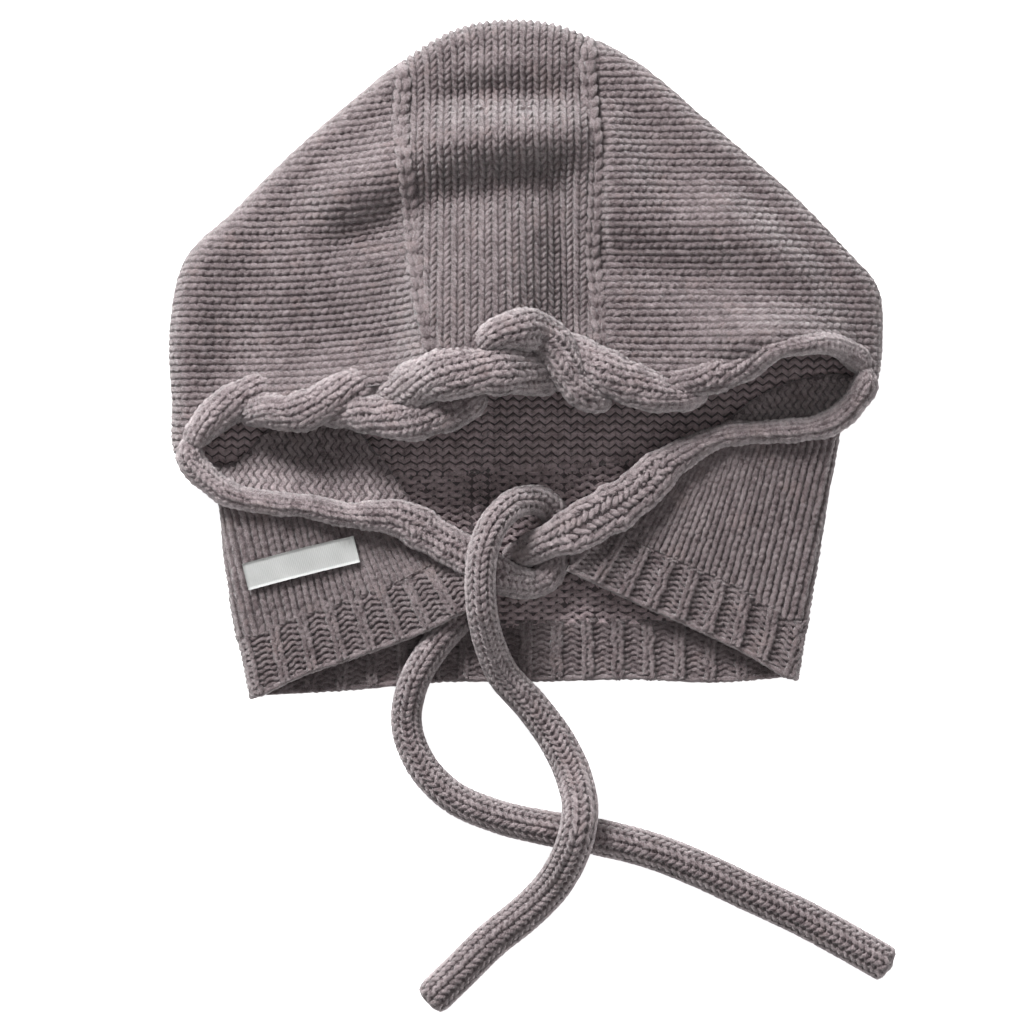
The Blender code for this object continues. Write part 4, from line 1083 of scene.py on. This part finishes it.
CASING_YARN_DEPTH = 1.15  # of the yarn's middle below the outline
CASING_WALE = 3.8
CASING_COURSE = 2.4
CASING_LOOPS = {
    "samples": 8, "sides": 4, "yarn": 1.1, "lean": 0.27, "depth": 0.24, "uneven": 0.42,
}
BRIM_TWIST = 0.035  # wales turned round the roll in each millimetre
BAND_END = 7.0  # length of the rounding at the end of a turn
LUMPS = 0.045  # unevenness of the rolled cloth, as a share of its size
LUMP_RUNS = (2.7, 1.6, 4.1)  # the first two along its size, and the last along its line
CHEEK_HOLLOW = 2.6
CHEEK_LOOPS = {"face": -1.0, "plump": -PLUMP, "samples": 8, "sides": 4}
CHAIN_COURSE = 4.4
CHAIN_WIDTH = 5.4
CHAIN_LIFT = 0.3
CHAIN_STEP = 1.2
CHAIN_CREST = 0.7  # how far its middle stands up, and how its sides fall away
CHAIN_FALL = 4.2
CHAIN_STRAND = 1.5
CHAIN_LOOPS = {
    "samples": 12, "sides": 6, "yarn": 1.15, "plump": 0.2, "lean": 0.2, "reach": 0.68,
    "depth": 0.8, "uneven": 0.35,
}


def frames_along(middle):
    """Level side and up directions along a line of points."""
    forward = np.gradient(middle, axis=0)
    forward /= np.linalg.norm(forward, axis=1)[:, None]
    side = np.cross([0, 0, 1.0], forward)
    for i in range(len(side)):
        if i and np.linalg.norm(side[i]) < 0.5:
            side[i] = side[i - 1] - forward[i] * (side[i - 1] @ forward[i])
        side[i] /= np.linalg.norm(side[i])
    return side, np.cross(forward, side)


def rings(middle, half_width, half_depth, turn):
    """Points of oval rings along a line, at turn radians from its level side."""
    side, up = frames_along(middle)
    across = half_width[:, None] * np.cos(turn)
    rise = half_depth[:, None] * np.sin(turn)
    return middle[:, None] + across[..., None] * side[:, None] + rise[..., None] * up[:, None]


def round_cloth(middle, half_width, half_depth, wales, course, twist=0.0, around=24):
    """A surface to knit in the round, along a line. Its columns overlap where they meet."""
    turn = 2 * np.pi * np.arange(-2, around + 3) / around
    points = rings(middle, half_width, half_depth, turn)
    run = lengths(middle)
    u = turn / (2 * np.pi) * wales + twist * run[:, None]
    v = np.broadcast_to((run / course)[:, None], u.shape)
    inner = len(middle) // 2
    out = points[inner, len(turn) // 2] - middle[inner]
    return Cloth(points, np.stack([u, v], axis=-1), towards=out)


def core(name, middle, half_width, half_depth, material, sides=16):
    """The closed body inside a round cloth."""
    turn = 2 * np.pi * np.arange(sides) / sides
    points = rings(middle, half_width, half_depth, turn)
    index = np.arange(len(middle) * sides).reshape(len(middle), sides)
    following = np.roll(index, -1, axis=1)
    walls = np.stack([index[:-1], following[:-1], following[1:], index[1:]], axis=-1)
    faces = walls.reshape(-1, 4).tolist() + [index[0][::-1].tolist(), index[-1].tolist()]
    return new_mesh(name, points.reshape(-1, 3), faces, material)


def end_sizes(count, spacing, radius, round_start, round_end):
    """Shares of the full size along a tube whose ends are round, radius long."""
    run = np.arange(count) * spacing
    share = np.ones(count)
    for rounded, distance in ((round_start, run), (round_end, run[::-1])):
        if rounded:
            near = np.clip(distance / radius, 0, 1)
            share = share * np.sqrt(np.clip(1 - (1 - near) ** 2, 0.03, 1))
    return share


def band(rows, round_start, round_end):
    """A turn of the casing from its table: its middle line and half sizes."""
    length = np.hypot(np.diff(rows["x"]), np.diff(rows["y"])).sum()
    count = int(round(length / TUBE_STEP)) + 1
    at = shares(count)
    x, y, half_width, half_depth = along(rows, at, "x", "y", "half_width", "half_depth").T
    if "lift" in rows:
        z = hood_height(x, y) + along(rows, at, "lift")[:, 0]
    else:
        z = along(rows, at, "z")[:, 0]
    share = end_sizes(count, TUBE_STEP, BAND_END, round_start, round_end)
    run = at * length
    lumps = np.sin(run / LUMP_RUNS[0] + x[0]) + 0.8 * np.sin(run / LUMP_RUNS[1] + y[0])
    share = share * (1 + LUMPS * lumps)
    y = y + LUMPS * 6 * np.sin(run / LUMP_RUNS[2] + x[0]) * share
    return np.stack([x, y, z], axis=1), half_width * share, half_depth * share


def inset(half):
    """A section's half size under its yarn."""
    return np.maximum(half - CASING_YARN_DEPTH, 0.5 * half)


def cheek_cloth(top, foot):
    """The cloth between the free edge of a cheek and the lower casing, a little hollow."""
    down = shares(18)[:, None, None]
    across = shares(40)
    upper, lower = along(top, across, "x", "y", "z"), along(foot, across, "x", "y", "z")
    points = (1 - down) * upper[None] + down * lower[None]
    points[..., 2] -= CHEEK_HOLLOW * np.sin(np.pi * down[..., 0]) * np.sin(np.pi * across)[None]
    stitches = np.stack([points[..., 1] / SIDE_WALE, points[..., 0] / SIDE_COURSE], axis=-1)
    return Cloth(points, stitches)


def casing(wool_yarn, painted_shade_core_wool):
    """The rolled casing: each turn of the roll is knitted in the round over its own core."""
    bands = [(LEFT_BAND, False, True, 0.0), (RIGHT_BAND, True, False, 0.0)]
    bands += [(rows, True, True, BRIM_TWIST) for rows in BRIM_TURNS]
    cores, knits = [], []
    for k, (rows, round_start, round_end, twist) in enumerate(bands):
        middle, half_width, half_depth = band(rows, round_start, round_end)
        half_width, half_depth = inset(half_width), inset(half_depth)
        # each core is the dark wool: painted shade between the loops
        cores.append(core("casing_core", middle, half_width, half_depth, painted_shade_core_wool))
        girth = np.pi * (half_width.mean() + half_depth.mean())
        wales = max(6, int(round(girth / CASING_WALE)))
        cloth = round_cloth(middle, half_width, half_depth, wales, CASING_COURSE, twist)
        last = lengths(middle)[-1] / CASING_COURSE
        limits = {"courses": (0.6, int(last)), "hold": (0.15, last - 0.15)}
        knits.append(knitted(cloth, wool_yarn, seed=3.0 * k + 40, **limits, **CASING_LOOPS))
    cheeks = ((LEFT_CHEEK_TOP, LEFT_CHEEK_FOOT), (RIGHT_CHEEK_TOP, RIGHT_CHEEK_FOOT))
    for k, (top, foot) in enumerate(cheeks):
        cloth = cheek_cloth(top, foot)
        # the cheek's shell is the dark wool too: painted shade between its loops
        cores.append(shell("casing_core", cloth, painted_shade_core_wool))
        knits.append(knitted(cloth, wool_yarn, seed=90.0 + k, **CHEEK_LOOPS))
    body = joined("casing_core", cores)
    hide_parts("face_casing")
    joined("casing_knit", knits)


def tie(name, rows, wool_yarn, painted_shade_core_wool, seed):
    """A knitted tie: a round cord with its yarn over it."""
    route = along(rows, shares(20 * len(rows["x"])), "x", "y", "z")
    length = lengths(route)[-1]
    middle, _ = resampled(route, int(round(length / TUBE_STEP)) + 1)
    widen = np.clip(np.linspace(-1.2, 2.6, len(middle)), 0, 1)  # in the middle of its length
    size = TIE_RADIUS + (TIE_END_RADIUS - TIE_RADIUS) * widen
    size = size * end_sizes(len(middle), TUBE_STEP, TIE_END_ROUND, False, True)
    # its core is the dark wool: painted shade between the loops
    inside = core(name, middle, size * TIE_CORE, size * TIE_CORE, painted_shade_core_wool)
    body = joined(name + "_core", [inside])
    cloth = round_cloth(middle, size, size, TIE_WALES, ROUND_COURSE)
    last = length / ROUND_COURSE
    limits = {"courses": (0.6, int(last)), "hold": (0.2, last - 0.1)}
    made = knitted(cloth, wool_yarn, seed=seed, **limits, **TIE_LOOPS)
    knit = joined(name + "_knit", [made])
    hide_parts(name)
    route = (middle - ORIGIN) * MM


def seam_chain(name, seam, edge_at, wool_yarn):
    """The raised chain of a crown seam: a column of plump loops over a strand."""
    arc, _ = hood_fold([edge_at], [edge_at], 13)
    arc = arc[0][:8]  # it ends a little past the fold's outermost point
    front = line_along(seam, np.linspace(0.98, 0, 60))
    front = meeting(front, None, arc[0, :2], 6)
    front = raised(front, hood_height(*front.T) + CHAIN_LIFT)
    line = np.concatenate([front, arc[1:]])
    middle, at = resampled(line, int(lengths(line)[-1] / CHAIN_STEP) + 1)
    side, up = frames_along(middle)
    across = np.linspace(-0.5, 0.5, 9)
    points = middle[:, None] + CHAIN_WIDTH * across[:, None] * side[:, None]
    points = points + (CHAIN_CREST - CHAIN_FALL * across[:, None] ** 2) * up[:, None]
    u, v = np.meshgrid(across, at / CHAIN_COURSE)
    cloth = Cloth(points, np.stack([u, v], axis=-1))
    size = CHAIN_STRAND * end_sizes(len(at), CHAIN_STEP, 2.0, True, True)
    strand = core(name, middle, size, size, wool_yarn, 9)
    courses = (0.6, int(at[-1] / CHAIN_COURSE) - 1)
    knots = knitted(cloth, wool_yarn, courses=courses, seed=edge_at * 50, **CHAIN_LOOPS)
    piece = joined(name, [strand, knots])
    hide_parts(name)


# Label -------------------------------------------------------------------------------------------


def label(material):
    """A bare woven tape, bowed a little."""
    long, wide = np.meshgrid(np.linspace(-0.5, 0.5, 33), np.linspace(-0.5, 0.5, 9), indexing="ij")
    turn = np.radians(LABEL_TURN)
    u = long * LABEL_LENGTH
    v = wide * LABEL_WIDTH + LABEL_EDGE_BOW * np.cos(np.pi * long)
    x = LABEL_CENTRE[0] + u * np.cos(turn) - v * np.sin(turn)
    y = LABEL_CENTRE[1] + u * np.sin(turn) + v * np.cos(turn)
    z = cape_height(x, y) + LABEL_LIFT + LABEL_BOW * np.cos(np.pi * long)
    points = np.stack([x, y, z], axis=-1)
    tape = [Cloth(points, points[..., :2])]
    piece = ground_cloth("label_tape", tape, material, "label", [LABEL_THICKNESS])


def satin():
    """White satin tape: fine threads along it and across it, a little soiled."""
    material, graph, shader = principled("satin_tape", 0.42, sheen=0.15, specular=0.45)
    place = graph.get("ShaderNodeTexCoord", "Object")
    turn = {"Vector": place, "Rotation": (0, 0, -math.radians(LABEL_TURN))}
    turned_place = graph.get("ShaderNodeMapping", 0, None, turn)

    def threads(direction, scale):
        inputs = {"Vector": turned_place, "Scale": scale, "Distortion": 0.4, "Detail": 1.0}
        return graph.get("ShaderNodeTexWave", "Fac", {"bands_direction": direction}, inputs)

    weave = threads("X", 480) * 0.6 + threads("Y", 760)
    soiled = graph.noise(place, 110.0, 2.0)
    shade = (weave * 0.16 + soiled * 0.7 - 0.02).clamped(0.0, 1.0)
    colour = graph.mixed(shade, (0.33, 0.335, 0.33), (0.56, 0.565, 0.555))
    bump = graph.bump(weave, 0.5, 0.0001)
    graph.tree.links.new(colour.socket, shader.inputs["Base Color"])
    graph.tree.links.new(bump.socket, shader.inputs["Normal"])
    return material


# Scene -------------------------------------------------------------------------------------------

VIEW_WIDTH = 358.4  # at VIEW_LEVEL above the floor
VIEW_LEVEL = 15.0
VIEW_FROM = np.array([-4.9, -53.7, 2500.0])
HORIZON_GLOW = 2.4  # strength of the studio's white surroundings, low down and overhead
HORIZON_TOP = 0.4  # height up to which they glow more, 1 being overhead
HORIZON_SLANT = 0.45  # how much more they glow from the right than from the middle
ZENITH_GLOW = 0.14
LIT_PLACE = (0, -0.02, 0)
LAMPS = {  # place in metres, width in metres and power in watts
    "window": ((-0.62, 1.05, 0.82), 0.6, 44),
    "fill": ((0.2, -0.3, 1.6), 1.6, 5.6),
}
FLOOR_REACH = 6.0
FLOOR_WHITE = (0.93, 0.93, 0.93, 1)
FLOOR_GLOW = 0.8


def camera():
    data = bpy.data.cameras.new("camera")
    data.sensor_width = 36
    data.lens = data.sensor_width * (VIEW_FROM[2] - VIEW_LEVEL) / VIEW_WIDTH
    data.clip_end = 10
    eye = placed("camera", data)
    eye.location = (VIEW_FROM - ORIGIN) * MM
    bpy.context.scene.camera = eye


def area_light(name, place, size, power):
    data = bpy.data.lights.new(name, "AREA")
    data.shape = "DISK"
    data.size = size
    data.energy = power
    lamp = placed(name, data)
    lamp.location = place
    aim = Vector(LIT_PLACE) - Vector(place)
    lamp.rotation_euler = aim.to_track_quat("-Z", "Y").to_euler()


def studio():
    world = bpy.data.worlds.new("studio")
    world.use_nodes = True
    graph = Graph(world.node_tree)
    direction = graph.get("ShaderNodeTexCoord", "Generated")
    ways = graph.node("ShaderNodeSeparateXYZ", None, {0: direction})
    right, up = (Value(graph, ways.outputs[k]) for k in (0, 2))
    fade = {0: up, 1: 0.0, 2: HORIZON_TOP, 3: HORIZON_GLOW, 4: 0.0}
    low = graph.get("ShaderNodeMapRange", 0, {"interpolation_type": "SMOOTHSTEP"}, fade)
    glow = low * (right * HORIZON_SLANT + 1) + ZENITH_GLOW
    background = world.node_tree.nodes["Background"]
    background.inputs["Color"].default_value = (1, 1, 1, 1)
    graph.tree.links.new(glow.socket, background.inputs["Strength"])
    bpy.context.scene.world = world
    for name, settings in LAMPS.items():
        area_light(name, *settings)
    bpy.context.scene.view_settings.view_transform = "Standard"
    floor = placed("floor", bpy.data.meshes.new("floor"))
    signs = ((-1, -1), (1, -1), (1, 1), (-1, 1))
    corners = [(x * FLOOR_REACH, y * FLOOR_REACH, 0) for x, y in signs]
    floor.data.from_pydata(corners, [], [(0, 1, 2, 3)])
    material, _, shader = principled("pale_floor", 0.9, specular=0.2)
    shader.inputs["Base Color"].default_value = FLOOR_WHITE
    shader.inputs["Emission Color"].default_value = (1, 1, 1, 1)
    shader.inputs["Emission Strength"].default_value = FLOOR_GLOW
    floor.data.materials.append(material)


def hood(yarn_wool, painted_light_back_wool, painted_shade_ground_wool):
    """The crown strip, the two side panels and the raised seams between them."""
    left_top = fraction_nearest(HOOD_EDGE, LEFT_SEAM_TOP)
    right_top = fraction_nearest(HOOD_EDGE, RIGHT_SEAM_TOP)
    to_side = SIDE_FROM_SEAM / HOOD_EDGE_LENGTH
    to_crown = CROWN_FROM_SEAM / HOOD_EDGE_LENGTH
    crown = crown_cloth(left_top + to_crown, right_top - to_crown)
    knit = joined("crown_knit", [knitted(crown, yarn_wool, seed=5.0, **CROWN_LOOPS)])
    ground = ground_cloth(
        "crown_ground", [crown], painted_shade_ground_wool, "crown_panel", [THIN_GROUND]
    )
    left_corner = fraction_nearest(HOOD_EDGE, LEFT_CORNER)
    right_corner = fraction_nearest(HOOD_EDGE, RIGHT_CORNER)
    for side, seams, brim, nape, start, front_to, back_to, sign in (
        ("left", (SEAM_LEFT, BACK_SEAM_LEFT), BRIM_LEFT, NAPE_LEFT, left_top - to_side,
         left_corner, 0.0, -1),
        ("right", (SEAM_RIGHT, BACK_SEAM_RIGHT), BRIM_RIGHT, NAPE_RIGHT, right_top + to_side,
         right_corner, 1.0, 1),
    ):
        face, back = side_cloths(seams, brim, nape, start, front_to, back_to, sign)
        front = knitted(face, yarn_wool, seed=7.0 + sign)
        front_knit = joined(f"side_{side}_knit", [front])
        # the back's inside takes the lighter copy of the wool: painted light
        behind = knitted(back, painted_light_back_wool, seed=17.0 + sign, **SIDE_BACK_LOOPS)
        back_knit = joined(f"side_{side}_back_knit", [behind])
        ground = ground_cloth(
            f"side_{side}_ground", [face, back], painted_shade_ground_wool, f"side_panel_{side}",
            [GROUND, THIN_GROUND],
        )
    seam_chain("seam_chain_left", SEAM_LEFT, left_top, yarn_wool)
    seam_chain("seam_chain_right", SEAM_RIGHT, right_top, yarn_wool)


def cape(yarn_wool, painted_light_back_wool, painted_shade_ground_wool):
    """The cape's fronts and its back, whose inside shows and stands deeper."""
    clothes = cape_cloths(True, CAPE_COURSE)
    for name, cloth, seed in zip(CAPE_LOOPS, clothes, CAPE_SEEDS):
        # the back's inside takes the lighter copy of the wool: painted light
        yarn = painted_light_back_wool if name == "back" else yarn_wool
        made = knitted(cloth, yarn, seed=seed, **CAPE_LOOPS[name])
        joined(f"neck_cape_{name}_knit", [made])
    thicknesses = [CAPE_GROUND, CAPE_GROUND, THIN_GROUND]
    ground = ground_cloth(
        "neck_cape_ground", clothes, painted_shade_ground_wool, "neck_cape", thicknesses
    )


def hem(yarn_wool, painted_shade_ground_wool):
    """The one by one rib below the cape, with its bound-off edge."""
    clothes = cape_cloths(False, RIB_COURSE)
    for name, cloth, seed in zip(CAPE_LOOPS, clothes, CAPE_SEEDS):
        face = -1.0 if name == "back" else 1.0
        hold = hem_limits(cloth)
        made = knitted(cloth, yarn_wool, face=face, hold=hold, seed=seed, **HEM_LOOPS)
        edge = bound_edge(cloth, yarn_wool, seed)
        joined(f"ribbed_hem_{name}_knit", [made, edge])
    ground = ground_cloth(
        "ribbed_hem_ground", clothes, painted_shade_ground_wool, "ribbed_hem", [HEM_GROUND] * 3,
        HEM_GROUND_SINK,
    )


def build():
    camera()
    # a lighter copy of body_wool: painted light on the casing and the ties
    painted_light_tie_and_casing_wool = wool("painted_light_tie_yarn", (0.112, 0.074, 0.08), (0.52, 0.432, 0.444))
    body = wool("body_wool", (0.072, 0.041, 0.045), (0.322, 0.263, 0.27))
    # a lighter copy of body_wool: painted light on the back layer's inside, which lies in shade
    # under the front; its dipping yarn is painted lighter too
    inner = wool("painted_light_back_wool", (0.12, 0.074, 0.082), (0.66, 0.52, 0.54), gaps=-0.5)
    # dark wool of the knits' ground cloths and cores: painted shade that shows between the loops
    under = wool("painted_shade_wool", (0.04, 0.025, 0.028), (0.18, 0.135, 0.141), (0.13, 0.09, 0.09))
    tie("tie_left", TIE_LEFT, painted_light_tie_and_casing_wool, under, 11.0)
    tie("tie_right", TIE_RIGHT, painted_light_tie_and_casing_wool, under, 23.0)
    hood(body, inner, under)
    cape(body, inner, under)
    hem(body, under)
    casing(painted_light_tie_and_casing_wool, under)
    label(satin())
    studio()


build()
